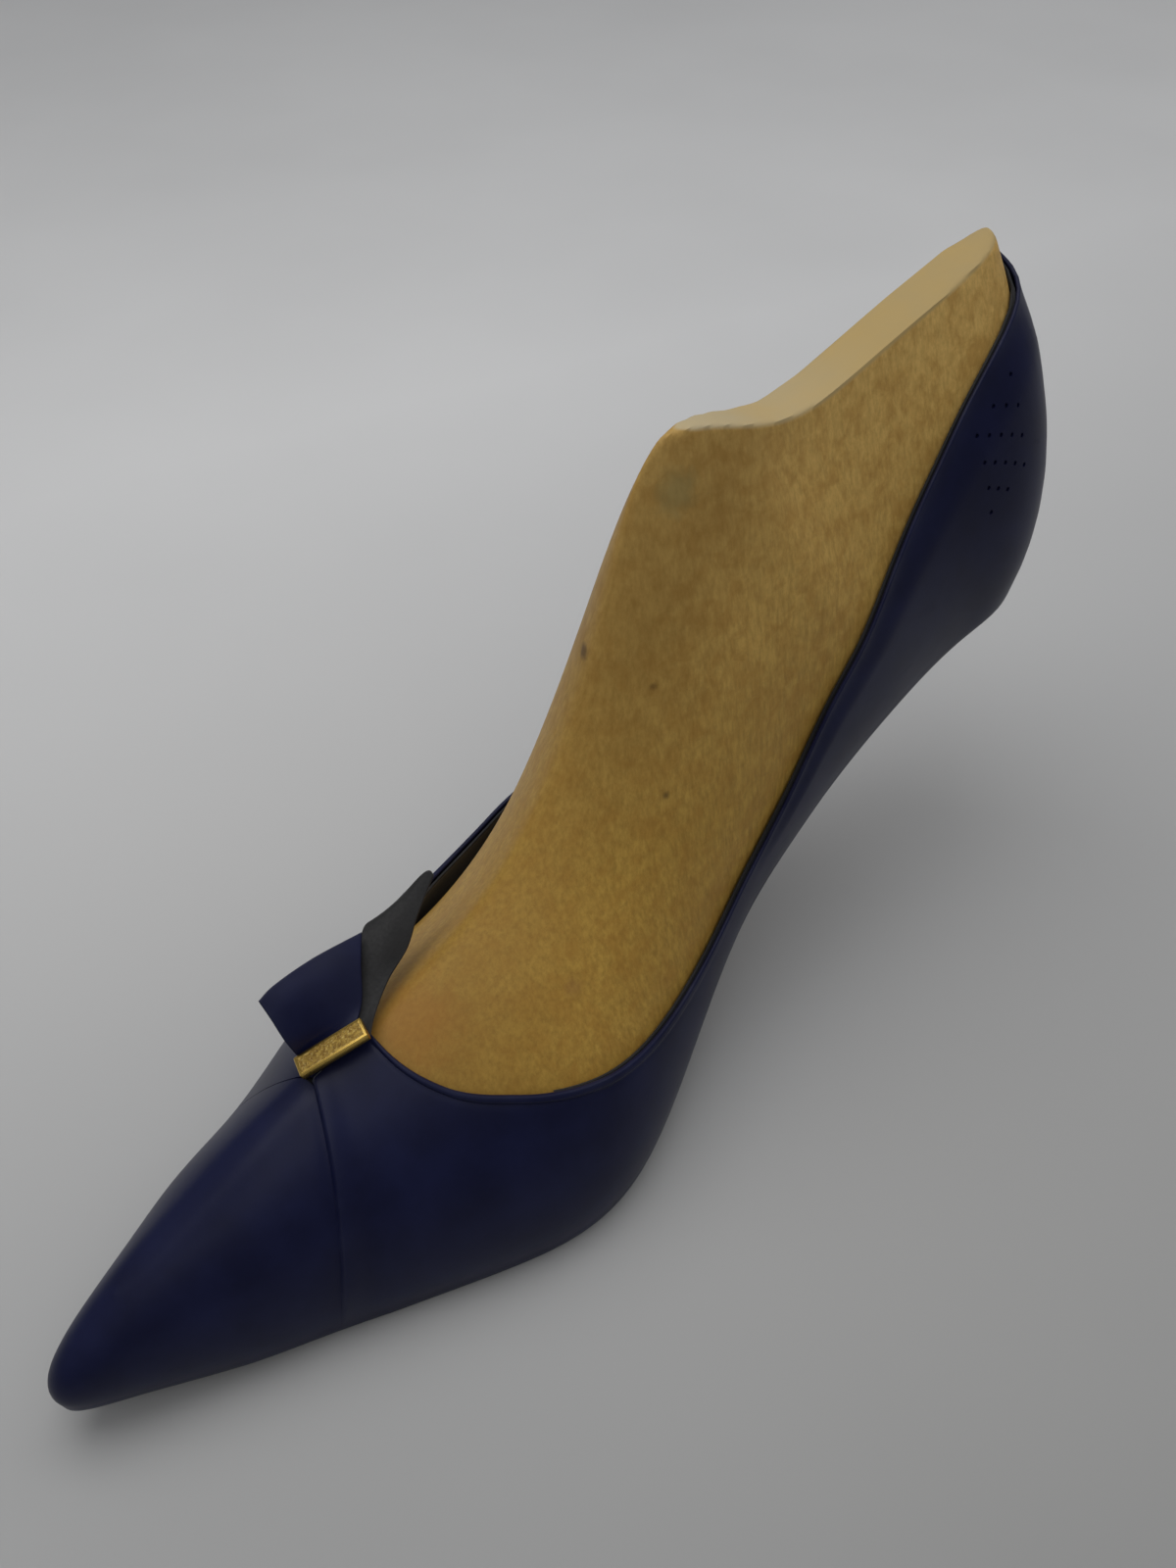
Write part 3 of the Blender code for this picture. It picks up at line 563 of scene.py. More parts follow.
def sideways(t):
    """The level way in which a wall swells: forward at the toe, sideways, back at the heel."""
    t = around(t)
    along = np.abs(t)
    toe = math.pi / 2 * np.sin(math.pi / 2 * np.minimum(along / TOE_TURN, 1))
    heel = math.pi - math.pi / 2 * np.sin(math.pi / 2 * np.minimum((1 - along) / HEEL_TURN, 1))
    angle = np.where(along < 0.5, toe, heel)
    return stacked(-np.cos(angle), np.copysign(np.sin(angle), t), np.zeros_like(t))


def wall(t, v):
    """Points of the last's sides."""
    t, v = np.broadcast_arrays(np.asarray(t, float), np.asarray(v, float))
    foot, top, out, up = feather(t), ridge(t), sideways(t), np.array((0, 0, 1.0))
    low = foot + out * bulge(t)[..., None] + up * (WALL_RISE * (top - foot)[..., 2:])
    high = top + out * crown(t)[..., None] - up * ridge_drop(t)[..., None]
    v = v[..., None]
    w = 1 - v
    return w**3 * foot + 3 * w * w * v * low + 3 * w * v * v * high + v**3 * top


def wall_normal(t, v):
    """Outward from the sides; on the ridge it stands upright between them."""
    t, v = np.broadcast_arrays(np.asarray(t, float), np.asarray(v, float))
    near = np.minimum(v, RIDGE_NEAR)
    along = wall(t + NUDGE, near) - wall(t - NUDGE, near)
    up = wall(t, near + NUDGE) - wall(t, np.maximum(near - NUDGE, 0))
    normal = np.cross(up, along)
    on_ridge = (v > near) & (np.abs(around(t)) < COMB_FRONT)
    normal[..., 1] = np.where(on_ridge, 0.0, normal[..., 1])
    return unit(normal)


def spine(t):
    """The bottom's centre line, from which the toe and heel fan out."""
    held = np.clip(np.abs(t), SPINE_FRONT, SPINE_REAR)
    return (feather(held) + feather(-held)) / 2


def down(t):
    """Square to the bottom, pointing away from the last."""
    held = np.clip(np.abs(t), SPINE_FRONT, SPINE_REAR)
    run = spine(held + NUDGE) - spine(held - NUDGE)
    return unit(stacked(run[..., 2], np.zeros_like(held), -run[..., 0]))


def bottom(t, inward, depth):
    """Points under the last: inward 0 at the feather edge, 1 at the spine."""
    edge = feather(t)
    return edge + (spine(t) - edge) * np.asarray(inward)[..., None] + down(t) * depth


print("heel back at", wall(1.0, 0.5).round(1), "comb front at", ridge(0.74).round(1))


# %% [markdown]
# ## From points to meshes
#
# A piece here is one or more grids of points. Points that fall on each other are
# welded, so that grids close into one skin, and the faces are then turned outwards.
# Numbers that a material reads, such as how near an edge a point is, go with the
# points as attributes.


# %% Mesh helpers
WELD = 0.004
SHARP = math.radians(48)


def grid_quads(rows, columns, start=0, cyclic=False):
    """The squares of a grid whose points are numbered row by row, as rows of four numbers."""
    index = start + np.arange(rows * columns).reshape(rows, columns)
    if cyclic:
        index = np.concatenate([index, index[:, :1]], axis=1)
    corners = (index[:-1, :-1], index[1:, :-1], index[1:, 1:], index[:-1, 1:])
    return np.stack(corners, axis=-1).reshape(-1, 4)


def shade(mesh, sharp=SHARP):
    """Smooth, but for edges that turn by more than an angle."""
    mesh.shade_smooth()
    mesh.set_sharp_from_angle(angle=sharp)


def mesh_piece(name, points, faces, material, attributes=None):
    """A piece from points in the last's axes; attributes give a number for each point."""
    made = bpy.data.meshes.new(name)
    made.from_pydata(to_metres(points).tolist(), [], [tuple(face) for face in faces])
    for key, values in (attributes or {}).items():
        values = np.asarray(values, np.float32).ravel()
        made.attributes.new(key, "FLOAT", "POINT").data.foreach_set("value", values)
    bm = bmesh.new()
    bm.from_mesh(made)
    bmesh.ops.remove_doubles(bm, verts=bm.verts, dist=WELD * MM)
    bmesh.ops.dissolve_degenerate(bm, edges=bm.edges, dist=WELD * MM / 4)
    bmesh.ops.recalc_face_normals(bm, faces=bm.faces)
    bm.to_mesh(made)
    bm.free()
    shade(made)
    made.materials.append(material)
    return put_in_scene(name, made)


def settle(piece, slot, *nodes):
    """A finished piece rides on the last and stands for its CAD nodes; slot is not used."""
    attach(piece, "root")
    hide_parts(*nodes)
    print(f"{piece.name}: {len(piece.data.polygons)} faces for {', '.join(nodes)}")


# %% Modifiers made plain
def apply_modifiers(piece):
    """Turns a piece with modifiers into a plain mesh."""
    bpy.context.view_layer.update()
    graph = bpy.context.evaluated_depsgraph_get()
    settings = {"preserve_all_data_layers": True, "depsgraph": graph}
    plain = bpy.data.meshes.new_from_object(piece.evaluated_get(graph), **settings)
    piece.modifiers.clear()
    piece.data = plain
    return piece


def boolean(piece, other, operation):
    """Adds the other object to a piece, or takes it away, and removes the other."""
    cut = piece.modifiers.new("Cut", "BOOLEAN")
    cut.operation, cut.solver, cut.object = operation, "EXACT", other
    apply_modifiers(piece)
    bpy.data.objects.remove(other)


# %% [markdown]
# ### Small pieces grown on points
#
# Tacks, rivets and punched dots are all alike, so each kind is one tree of Geometry
# Nodes. A tree puts one shape on every point of a mesh, along the direction that the
# point carries as its attribute "axis", and turns it by chance from a fixed seed, as a
# hammer does. Its sizes are named inputs. The result is made plain right away.


# %% Geometry Nodes helpers
SOCKETS = {int: "NodeSocketInt", float: "NodeSocketFloat", type(None): "NodeSocketMaterial"}


def new_growth(name, inputs):
    """A tree with a geometry in and out; an input of None takes a material."""
    tree = bpy.data.node_groups.new(name, "GeometryNodeTree")
    add = tree.interface.new_socket
    add("Geometry", in_out="INPUT", socket_type="NodeSocketGeometry")
    for key, value in inputs.items():
        socket = add(key, in_out="INPUT", socket_type=SOCKETS[type(value)])
        if value is not None:
            socket.default_value = value
    add("Geometry", in_out="OUTPUT", socket_type="NodeSocketGeometry")
    nodes = tree.nodes
    return tree, nodes.new("NodeGroupInput").outputs, nodes.new("NodeGroupOutput").inputs


def vector_of(tree, x=0.0, y=0.0, z=0.0):
    return put(tree, "ShaderNodeCombineXYZ", {"X": x, "Y": y, "Z": z}).outputs[0]


def shifted(tree, geometry, height, flat=None):
    """Moves a shape along its axis, and flattens it by a share."""
    inputs = {"Geometry": geometry, "Translation": vector_of(tree, z=height)}
    if flat is not None:
        inputs["Scale"] = vector_of(tree, 1.0, 1.0, flat)
    return put(tree, "GeometryNodeTransform", inputs).outputs[0]


def set_on_points(tree, given, result, shape):
    """The end of every tree: the shape on each point, a little tilted, in its material."""
    vector = {"data_type": "FLOAT_VECTOR"}
    axis = put(tree, "GeometryNodeInputNamedAttribute", {"Name": "axis"}, **vector)
    axis = {"Vector": axis.outputs["Attribute"]}
    facing = put(tree, "FunctionNodeAlignRotationToVector", axis, axis="Z").outputs[0]
    inputs = {"Points": given["Geometry"], "Instance": shape, "Rotation": facing}
    placed = put(tree, "GeometryNodeInstanceOnPoints", inputs).outputs[0]
    most = vector_of(tree, given["Tilt"], given["Tilt"], math.pi)
    least = put(tree, "ShaderNodeVectorMath", {0: most, "Scale": -1.0}, operation="SCALE")
    inputs = {0: least.outputs[0], 1: most, "Seed": given["Seed"]}
    chance = put(tree, "FunctionNodeRandomValue", inputs, **vector).outputs[0]
    inputs = {"Instances": placed, "Rotation": chance}
    turned = put(tree, "GeometryNodeRotateInstances", inputs).outputs[0]
    real = put(tree, "GeometryNodeRealizeInstances", {"Geometry": turned}).outputs[0]
    inputs = {"Geometry": real, "Material": given["Material"]}
    feed(tree, result, Geometry=put(tree, "GeometryNodeSetMaterial", inputs).outputs[0])


def grown(name, tree, points, axes, values):
    """What a tree grows on points, as a plain mesh; values are its named inputs."""
    made = bpy.data.meshes.new(name)
    made.from_pydata(to_metres(points).tolist(), [], [])
    axes = np.asarray(axes, np.float32).ravel()
    made.attributes.new("axis", "FLOAT_VECTOR", "POINT").data.foreach_set("vector", axes)
    piece = put_in_scene(name, made)
    growth = piece.modifiers.new("Grown", "NODES")
    growth.node_group = tree
    for socket in tree.interface.items_tree:
        if socket.in_out == "INPUT" and socket.name in values:
            growth[socket.identifier] = values[socket.name]
    apply_modifiers(piece)
    shade(piece.data)
    return piece


# %% Tree: driven nail
NAIL_SIDES, DOME_SIDES, DOME_RINGS = 24, 28, 12
sizes = {"Length": 0.0125, "Taper": 0.003, "Tip": 0.00015, "Radius": 0.0006}
sizes |= {"Head": 0.002, "Rise": 0.0004, "Gap": 0.0003, "Tilt": 0.04}
nail_tree, given, result = new_growth("Driven nail", {**sizes, "Seed": 3, "Material": None})
cone = {"Vertices": NAIL_SIDES, "Radius Top": given["Radius"], "Radius Bottom": given["Tip"]}
cone = put(nail_tree, "GeometryNodeMeshCone", {**cone, "Depth": given["Taper"]})
point = shifted(nail_tree, cone.outputs["Mesh"], times(nail_tree, given["Length"], -1.0))
straight = math_node(nail_tree, "SUBTRACT", given["Length"], given["Taper"])
straight = plus(nail_tree, straight, given["Gap"])
tube = {"Vertices": NAIL_SIDES, "Radius": given["Radius"], "Depth": straight}
tube = put(nail_tree, "GeometryNodeMeshCylinder", tube).outputs["Mesh"]
middle = math_node(nail_tree, "SUBTRACT", given["Gap"], times(nail_tree, straight, 0.5))
shaft = shifted(nail_tree, tube, middle)
ball = {"Segments": DOME_SIDES, "Rings": DOME_RINGS, "Radius": given["Head"]}
ball = put(nail_tree, "GeometryNodeMeshUVSphere", ball).outputs["Mesh"]
flat = math_node(nail_tree, "DIVIDE", given["Rise"], given["Head"])
dome = shifted(nail_tree, ball, given["Gap"], flat)
nail = put(nail_tree, "GeometryNodeJoinGeometry")
for shape in (point, shaft, dome):
    nail_tree.links.new(shape, nail.inputs[0])
set_on_points(nail_tree, given, result, nail.outputs[0])

# %% Tree: punch
PIN_SIDES = 16
sizes = {"Radius": 0.00045, "Depth": 0.0005, "Clear": 0.0004, "Tilt": 0.03}
punch_tree, given, result = new_growth("Punch", {**sizes, "Seed": 8, "Material": None})
pin = {"Vertices": PIN_SIDES, "Radius": given["Radius"]}
pin["Depth"] = plus(punch_tree, given["Depth"], given["Clear"])
pin = put(punch_tree, "GeometryNodeMeshCylinder", pin).outputs["Mesh"]
middle = math_node(punch_tree, "SUBTRACT", given["Clear"], given["Depth"])
pin = shifted(punch_tree, pin, times(punch_tree, middle, 0.5))
set_on_points(punch_tree, given, result, pin)
print("trees:", nail_tree.name, len(nail_tree.nodes), punch_tree.name, len(punch_tree.nodes))

# %% [markdown]
# ## The wooden last
#
# A real last is turned on a copying lathe and then sanded, so its only hard edge is
# the feather edge at the bottom. The ridge and the comb's edges are soft. Beveling
# them in Blender would need a clean edge loop where the comb runs out to a point.
# Instead each cross-section is drawn as one line, over the comb from one feather
# edge to the other, spaced evenly and then smoothed a little, as sandpaper does.

# %% Cross-sections, sanded
BODY_COLUMNS, BODY_ROWS = 260, 230
SANDING, COMB_SANDING, SANDING_PASSES = 1.3, 0.24, 24
COMB_HARDENS = (0.62, 0.76)
COMB_BAND, COMB_NARROW = 8.0, 3.0
WALL_POINTS, COMB_POINTS = 140, 32


def evenly_spaced(line, count):
    """The line through points (with any further values) at count even steps."""
    step = np.linalg.norm(np.diff(line[:, :3], axis=0), axis=1)
    run = np.concatenate([[0.0], np.cumsum(step)])
    steps = np.linspace(0, run[-1], count)
    return np.stack([np.interp(steps, run, channel) for channel in line.T], axis=1)


def sanded(line, radius):
    """Rounds the corners of an evenly spaced line; its ends stay."""
    spacing = max(np.linalg.norm(np.diff(line[:, :3], axis=0), axis=1).mean(), 1e-6)
    share = min((radius / spacing) ** 2 / SANDING_PASSES, 0.5)
    for _ in range(SANDING_PASSES):
        line[1:-1] += share / 2 * (line[:-2] + line[2:] - 2 * line[1:-1])
    return line


def section(t):
    """A line from feather edge to feather edge over the comb, with how far it is onto it."""
    v = np.linspace(0, 1, WALL_POINTS)
    inner, outer = wall(-t, v), wall(t, v[::-1])
    share = np.linspace(0, 1, COMB_POINTS)[1:-1]
    across = inner[-1] + (outer[0] - inner[-1]) * share[:, None]
    line = np.concatenate([inner, across, outer])
    width = np.linalg.norm(outer[0] - inner[-1])
    below_inner = -np.linalg.norm(inner - inner[-1], axis=1)
    below_outer = -np.linalg.norm(outer - outer[0], axis=1)
    onto_comb = np.concatenate([below_inner, width * np.minimum(share, 1 - share), below_outer])
    at_front = 1 - ease(t, COMB_FRONT + 0.03, COMB_FRONT + 0.1)
    missing = COMB_NARROW * (1 - ease(width, 0, COMB_NARROW)) * at_front
    on_comb = np.clip(0.5 + (onto_comb - missing) / COMB_BAND, 0, 1)
    radius = SANDING + (COMB_SANDING - SANDING) * ease(t, *COMB_HARDENS)
    return sanded(evenly_spaced(np.column_stack([line, on_comb]), BODY_ROWS), radius)


stations = np.linspace(0, 1, BODY_COLUMNS)
sections = np.stack([section(t) for t in stations])
UNDER = ((OUTER, 0.3), (OUTER, 0.65), (OUTER, 1.0), (INNER, 0.65), (INNER, 0.3))
under = np.stack([bottom(side * stations, share, 0.0) for side, share in UNDER], axis=1)
under = np.concatenate([under, np.zeros((*under.shape[:2], 1))], axis=-1)
loops = np.concatenate([sections, under], axis=1)
print("sections:", sections.shape)

# %% Wood mesh
body_faces = grid_quads(*loops.shape[:2], cyclic=True)
points = loops[..., :3].reshape(-1, 3)
body = mesh_piece("wooden_last", points, body_faces, wood, {"comb": loops[..., 3]})
HEEL_TOP, HEEL_TOP_REACH = Vector(to_metres(ridge(1.0))), 9.0 * MM
rounded_there = body.vertex_groups.new(name="heel top")
for vertex in body.data.vertices:
    reach = (vertex.co - HEEL_TOP).length
    if reach < HEEL_TOP_REACH:
        weight = 1 - ease(reach, HEEL_TOP_REACH / 3, HEEL_TOP_REACH)
        rounded_there.add([vertex.index], float(weight), "REPLACE")
smoothing = body.modifiers.new("Worn heel top", "SMOOTH")
smoothing.factor, smoothing.iterations, smoothing.vertex_group = 0.5, 24, "heel top"
apply_modifiers(body)
settle(body, "last_wood", "last_body")

# %% [markdown]
# ## Lasted leather
#
# The shoemaker pulls each skin down over the last, round the feather edge and in
# under the insole board. So the leather's natural line is a *column*: from the
# topline down the wall, round the edge, and in under the bottom. `lasted_lines`
# reads these columns from the last's formula, with the direction that points away
# from the wood. A layer is then two skins at their distances along that direction.
# Where a piece ends its two skins close on each other in a half circle, so every
# cut or folded edge is round, and nothing needs a bevel.

# %% The upper's lines
LAP_FEATHER, LAP_RIDGE = 0.195, 0.257
THROAT_FEATHER, THROAT_RIDGE = 0.235, 0.327
LINING_SEAM = 0.40
TOPLINE_FEATHER = (0.235, 0.265, 0.31, 0.37, 0.44, 0.54, 0.64, 0.72, 0.78, 0.84, 0.90, 0.95, 1)
TOPLINE_STATION = (0.327, 0.328, 0.345, 0.39, 0.45, 0.54, 0.63, 0.71, 0.775, 0.835, 0.895, 0.937, 1)
TOPLINE_HEIGHT = (1, 0.86, 0.705, 0.56, 0.43, 0.298, 0.218, 0.205, 0.30, 0.45, 0.615, 0.77, 0.90)
WOOD_GAP, GAP, LINING, STIFFENER, UPPER, INSOLE = 0.4, 0.3, 0.6, 0.6, 0.8, 1.2
UPPER_UNDER = GAP + LINING + GAP
FRONT_MARGIN, REAR_MARGIN, MARGIN_NARROWS = 12.0, 8.5, (0.42, 0.6)
PUFF_END, COUNTER_START, COUNTER_TOP = 0.13, 0.74, 0.78
GAPE, GAPE_OPENS, GAPE_CLOSES = 2.5, (0.40, 0.50), (0.58, 0.68)
STATION_PER_MM = 1 / 240
TURN_RUN, TURN_COLUMNS = 12.0, 34


def open_curve(knots, values):
    knots, values = np.array(knots, float), np.array(values, float)
    slopes = np.gradient(values, knots)
    return lambda t: read_curve(knots, values, slopes, t)


topline_station = open_curve(TOPLINE_FEATHER, TOPLINE_STATION)
topline_height = open_curve(TOPLINE_FEATHER, TOPLINE_HEIGHT)


def top_of(t, seam=0.0):
    """Where the column from feather station t ends, kept below a seam on the ridge."""
    vamp = t * LAP_RIDGE / LAP_FEATHER
    past_lap = (THROAT_RIDGE - LAP_RIDGE) * (t - LAP_FEATHER)
    front = LAP_RIDGE + past_lap / (THROAT_FEATHER - LAP_FEATHER)
    behind = np.where(t <= THROAT_FEATHER, front, topline_station(t))
    station = np.where(t <= LAP_FEATHER, vamp, behind)
    height = np.where(t <= THROAT_FEATHER, 1.0, topline_height(np.maximum(t, THROAT_FEATHER)))
    return station, np.minimum(height, 1.0 - seam)


def place_on_wall(side, t, share, seam=0.0):
    """Station and height at a share of a column's length."""
    station, height = top_of(t, seam)
    return side * (t + (station - t) * share * share), height * share


def upper_distance(t, share):
    """The upper lies further out over a stiffener, and hugs the lining above the counter."""
    puff = 1 - ease(t, PUFF_END, PUFF_END + 0.08)
    counter = ease(t, COUNTER_START - 0.1, COUNTER_START - 0.01)
    counter = counter * (1 - ease(share, COUNTER_TOP, 0.98))
    return WOOD_GAP + LINING + GAP + (STIFFENER + GAP) * (puff + counter)


def gaping(distance):
    """The same layer where the far side's topline stands off the wood, by the instep."""
    def further(t, share):
        here = GAPE * ease(t, *GAPE_OPENS) * (1 - ease(t, *GAPE_CLOSES))
        return distance(t, share) + here * ease(share, 0.5, 1.0)

    return further


def margin_of(t):
    return FRONT_MARGIN + (REAR_MARGIN - FRONT_MARGIN) * ease(t, *MARGIN_NARROWS)


# %% Columns of a layer
BEAD_STEPS = (0.0, 0.03, 0.12, 0.25, 0.4, 0.55, 0.7, 0.85, 1.0, 1.15, 1.3, 1.42, 1.55)
NEAR_TOP = (*BEAD_STEPS, 1.75, 2.1, 2.7, 3.5)
WALL_ROWS, CORNER_ROWS, UNDER_ROWS = 34, 7, 9
NEAR_END = (0.4, 0.25, 0.12, 0.03, 0.0)
EVEN_TOP = (0.0, 0.7, 1.4, 2.1, 2.8, 3.5)


def run_along(points, axis):
    """How far each point lies along its line, from the line's start and to its end."""
    step = np.linalg.norm(np.diff(points, axis=axis), axis=-1)
    start = np.zeros_like(np.take(step, [0], axis=axis))
    run = np.concatenate([start, np.cumsum(step, axis=axis)], axis=axis)
    return run, np.take(run, [-1], axis=axis) - run


def column_shares(side, t, seam, near_top):
    """The shares of each column that get rows; near_top gives distances under its top."""
    dense = np.linspace(1, 0, 200)
    line = wall(*place_on_wall(side, t[:, None], dense, seam))
    run, _ = run_along(line, 1)
    near = np.stack([np.interp(near_top, column, dense) for column in run])
    rest = near[:, -1:] * np.linspace(1, 0, WALL_ROWS + 1)[1:]
    return np.concatenate([near, rest], axis=1)


def lasted_lines(side, t, distance, under, seam=0.0, near_top=NEAR_TOP):
    """Points on the wood, directions away from it, and the distance of a layer's inner skin."""
    shares = column_shares(side, t, seam, near_top)
    station, height = place_on_wall(side, t[:, None], shares, seam)
    points, away = wall(station, height), wall_normal(station, height)
    far, foot_far = distance(t[:, None], shares), distance(t[:, None], 0.0)

    signed, depth = side * t, GAP + INSOLE
    out, below = wall_normal(signed, 0.0), down(signed)
    turn = np.linspace(0, math.pi / 2, CORNER_ROWS)[None, :, None]
    corner_away = unit(out[:, None] * np.cos(turn) + below[:, None] * np.sin(turn))
    corner = np.repeat(bottom(signed, 0.0, depth)[:, None], CORNER_ROWS, axis=1)
    corner_far = foot_far + (under - foot_far) * turn[..., 0] / (math.pi / 2)

    reach = np.linalg.norm(spine(signed) - feather(signed), axis=-1)
    margin = np.minimum(margin_of(t), reach * 0.86)
    inward = np.linspace(0, 1, UNDER_ROWS + 1)[1:] * (margin[:, None] - NEAR_END[0])
    inward = np.concatenate([inward, margin[:, None] - np.array(NEAR_END[1:])], axis=1)
    under_points = bottom(signed[:, None], inward / reach[:, None], depth)
    under_away = np.repeat(below[:, None], inward.shape[1], axis=1)
    under_far = np.full(inward.shape, under)
    wall_rows = shares.shape[1]
    points = np.concatenate([points, corner, under_points], axis=1)
    away = np.concatenate([away, corner_away, under_away], axis=1)
    return points, away, np.concatenate([far, corner_far, under_far], axis=1), wall_rows


# %% Two skins that close at the edges
def rounded(distance, radius):
    """0 at an edge, 1 a radius away from it, along a quarter circle."""
    left = 1 - np.minimum(distance / radius, 1)
    return np.sqrt(np.maximum(1 - left * left, 0))


def two_skins(points, away, far, thickness, edges, relief=0.0):
    """A layer's outer and inner skin; edges names the sides that close, with their radius."""
    middle = points + away * (far + thickness / 2)[..., None]
    top, end = run_along(middle, 1)
    first, last = run_along(middle, 0)
    full = np.ones(far.shape)
    for name, distance in (("top", top), ("end", end), ("first", first), ("last", last)):
        if name in edges:
            full = np.minimum(full, rounded(distance, edges[name]))
    outer = middle + away * ((thickness / 2 + relief) * full)[..., None]
    inner = middle - away * (thickness / 2 * full)[..., None]
    return outer, inner, (top, end, first, last)


def skin_piece(name, outer, inner, material, attributes):
    """One closed mesh from an outer and an inner skin."""
    rows, columns = outer.shape[:2]
    faces = [grid_quads(rows, columns, start) for start in (0, rows * columns)]
    points = np.concatenate([outer.reshape(-1, 3), inner.reshape(-1, 3)])
    doubled = {key: np.tile(values.ravel(), 2) for key, values in attributes.items()}
    return mesh_piece(name, points, np.concatenate(faces), material, doubled)


def column_stations(start, end, spacing, close_start=True, close_end=True):
    """Stations from start to end, closer together at an edge, and round the toe and the heel."""
    near = np.array(NEAR_TOP) * STATION_PER_MM
    turn = np.linspace(0, TURN_RUN, TURN_COLUMNS) * STATION_PER_MM
    low = start + (near if close_start else turn)
    high = end - (near if close_end else turn)[::-1]
    count = max(int((high[0] - low[-1]) / (spacing * STATION_PER_MM)), 2)
    between = np.linspace(low[-1], high[0], count)
    return np.unique(np.round(np.concatenate([low, between, high]), 6))


# %% [markdown]
# ### Linings
#
# The lining is a layer 0.6 mm thick, 0.4 mm off the wood. It comes first because
# everything else is stacked on it. It is hidden but for its edge, the thin black line
# between wood and kid. The vamp's lining runs over the ridge from side to side; each
# quarter has its own.

# %% Both sides as one piece
def over_the_ridge(t, distance, under):
    """The inner side's columns up to the ridge, joined to the outer side's going down."""
    halves = [lasted_lines(side, t, distance, under, near_top=EVEN_TOP) for side in (INNER, OUTER)]
    joined = []
    for inner_part, outer_part in zip(halves[0][:3], halves[1][:3]):
        middle = (inner_part[:, :1] + outer_part[:, :1]) / 2
        joined.append(np.concatenate([inner_part[:, :0:-1], middle, outer_part[:, 1:]], axis=1))
    points, away, far = joined
    return points, unit(away), far, halves[0][3]


RIDGE_REACH, CORNER_REACH, CORNER_PASSES = 5, 4, 8


def soften(skin, row, reach, passes=12):
    """Sands a skin across a row: each point moves half way to the line between its neighbours."""
    weight = 0.5 * np.exp(-(((np.arange(skin.shape[1]) - row) / reach) ** 2))[None, 1:-1, None]
    for _ in range(passes):
        steps = np.linalg.norm(np.diff(skin, axis=1), axis=-1, keepdims=True) + WELD
        before, after = steps[:, :-1], steps[:, 1:]
        between = (skin[:, :-2] * after + skin[:, 2:] * before) / (before + after)
        skin[:, 1:-1] += weight * (between - skin[:, 1:-1])
    return skin


def soften_vamp(skins, wall_rows):
    """Over the ridge and at both feather edges."""
    middle = skins[0].shape[1] // 2
    corner = wall_rows + CORNER_ROWS // 2
    for skin in skins:
        soften(skin, middle, RIDGE_REACH)
        soften(skin, middle - corner, CORNER_REACH, CORNER_PASSES)
        soften(skin, middle + corner, CORNER_REACH, CORNER_PASSES)


# %% Vamp lining
SEAM, HEEL_END = 0.0001, 0.99985
TIGHT, SHUT = 0.12, 0.03


def lining_distance(t, share):
    return np.full(np.broadcast_shapes(np.shape(t), np.shape(share)), WOOD_GAP)


t = column_stations(0, LINING_SEAM - SEAM, 1.8, close_start=False)
points, away, far, wall_rows = over_the_ridge(t, lining_distance, GAP)
lining_edges = {"top": LINING / 2, "end": LINING / 2, "last": TIGHT}
outer, inner, _ = two_skins(points, away, far, LINING, lining_edges)
soften_vamp((outer, inner), wall_rows)
vamp_lining = skin_piece("lining_over_forepart", outer, inner, lining_skin, {})
settle(vamp_lining, "black_lining", "vamp_lining")

# %% Quarter linings
quarter_sides = ((INNER, "medial"), (OUTER, "lateral"))
for side, word in quarter_sides:
    t = column_stations(LINING_SEAM + SEAM, HEEL_END, 2.2)
    distance = lining_distance if side == INNER else gaping(lining_distance)
    points, away, far, wall_rows = lasted_lines(side, t, distance, GAP)
    outer, inner, _ = two_skins(points, away, far, LINING, {**lining_edges, "first": TIGHT})
    for skin in (outer, inner):
        soften(skin, wall_rows + CORNER_ROWS // 2, CORNER_REACH, CORNER_PASSES)
    quarter_lining = skin_piece(f"lining_{word}_quarter", outer, inner, lining_skin, {})
    settle(quarter_lining, "black_lining", f"{word}_quarter_lining")

# %% [markdown]
# ### Toe puff and heel counter
#
# Between lining and kid the toe and the heel are stiffened with pasted canvas. Nothing
# of it shows on a finished shoe, but the piece is there, so it gets the same smooth
# surface as its neighbours.

# %% Stiffeners
STIFFENER_FOOT, RIM_SHARE = 0.10, 0.012
RIM_STEPS = np.array((0.0, 0.03, 0.1, 0.2, 0.3)) * 0.02


def stiffener_half(side, t, top_share):
    """A stiffener's wall columns on one side, from its top down to just above the feather edge."""
    inside = np.linspace(top_share - RIM_SHARE, STIFFENER_FOOT + RIM_SHARE, 30)
    rims = top_share - RIM_STEPS, STIFFENER_FOOT + RIM_STEPS[::-1]
    share = np.concatenate([rims[0], inside, rims[1]])
    station, height = place_on_wall(side, t[:, None], share)
    return wall(station, height), wall_normal(station, height)


def stiffener(name, t, top_share, edges, joined_over_ridge):
    """Both sides of a stiffener as one piece."""
    halves = [stiffener_half(side, t, top_share) for side in (INNER, OUTER)]
    if joined_over_ridge:
        (points_in, away_in), (points_out, away_out) = halves
        points = np.concatenate([points_in[:, ::-1], points_out[:, 1:]], axis=1)
        away = np.concatenate([away_in[:, ::-1], away_out[:, 1:]], axis=1)
    else:
        points = np.concatenate([halves[0][0], halves[1][0][-2::-1]], axis=0)
        away = np.concatenate([halves[0][1], halves[1][1][-2::-1]], axis=0)
    far = np.full(points.shape[:2], WOOD_GAP + LINING + GAP)
    outer, inner, _ = two_skins(points, away, far, STIFFENER, edges)
    return skin_piece(name, outer, inner, canvas, {})


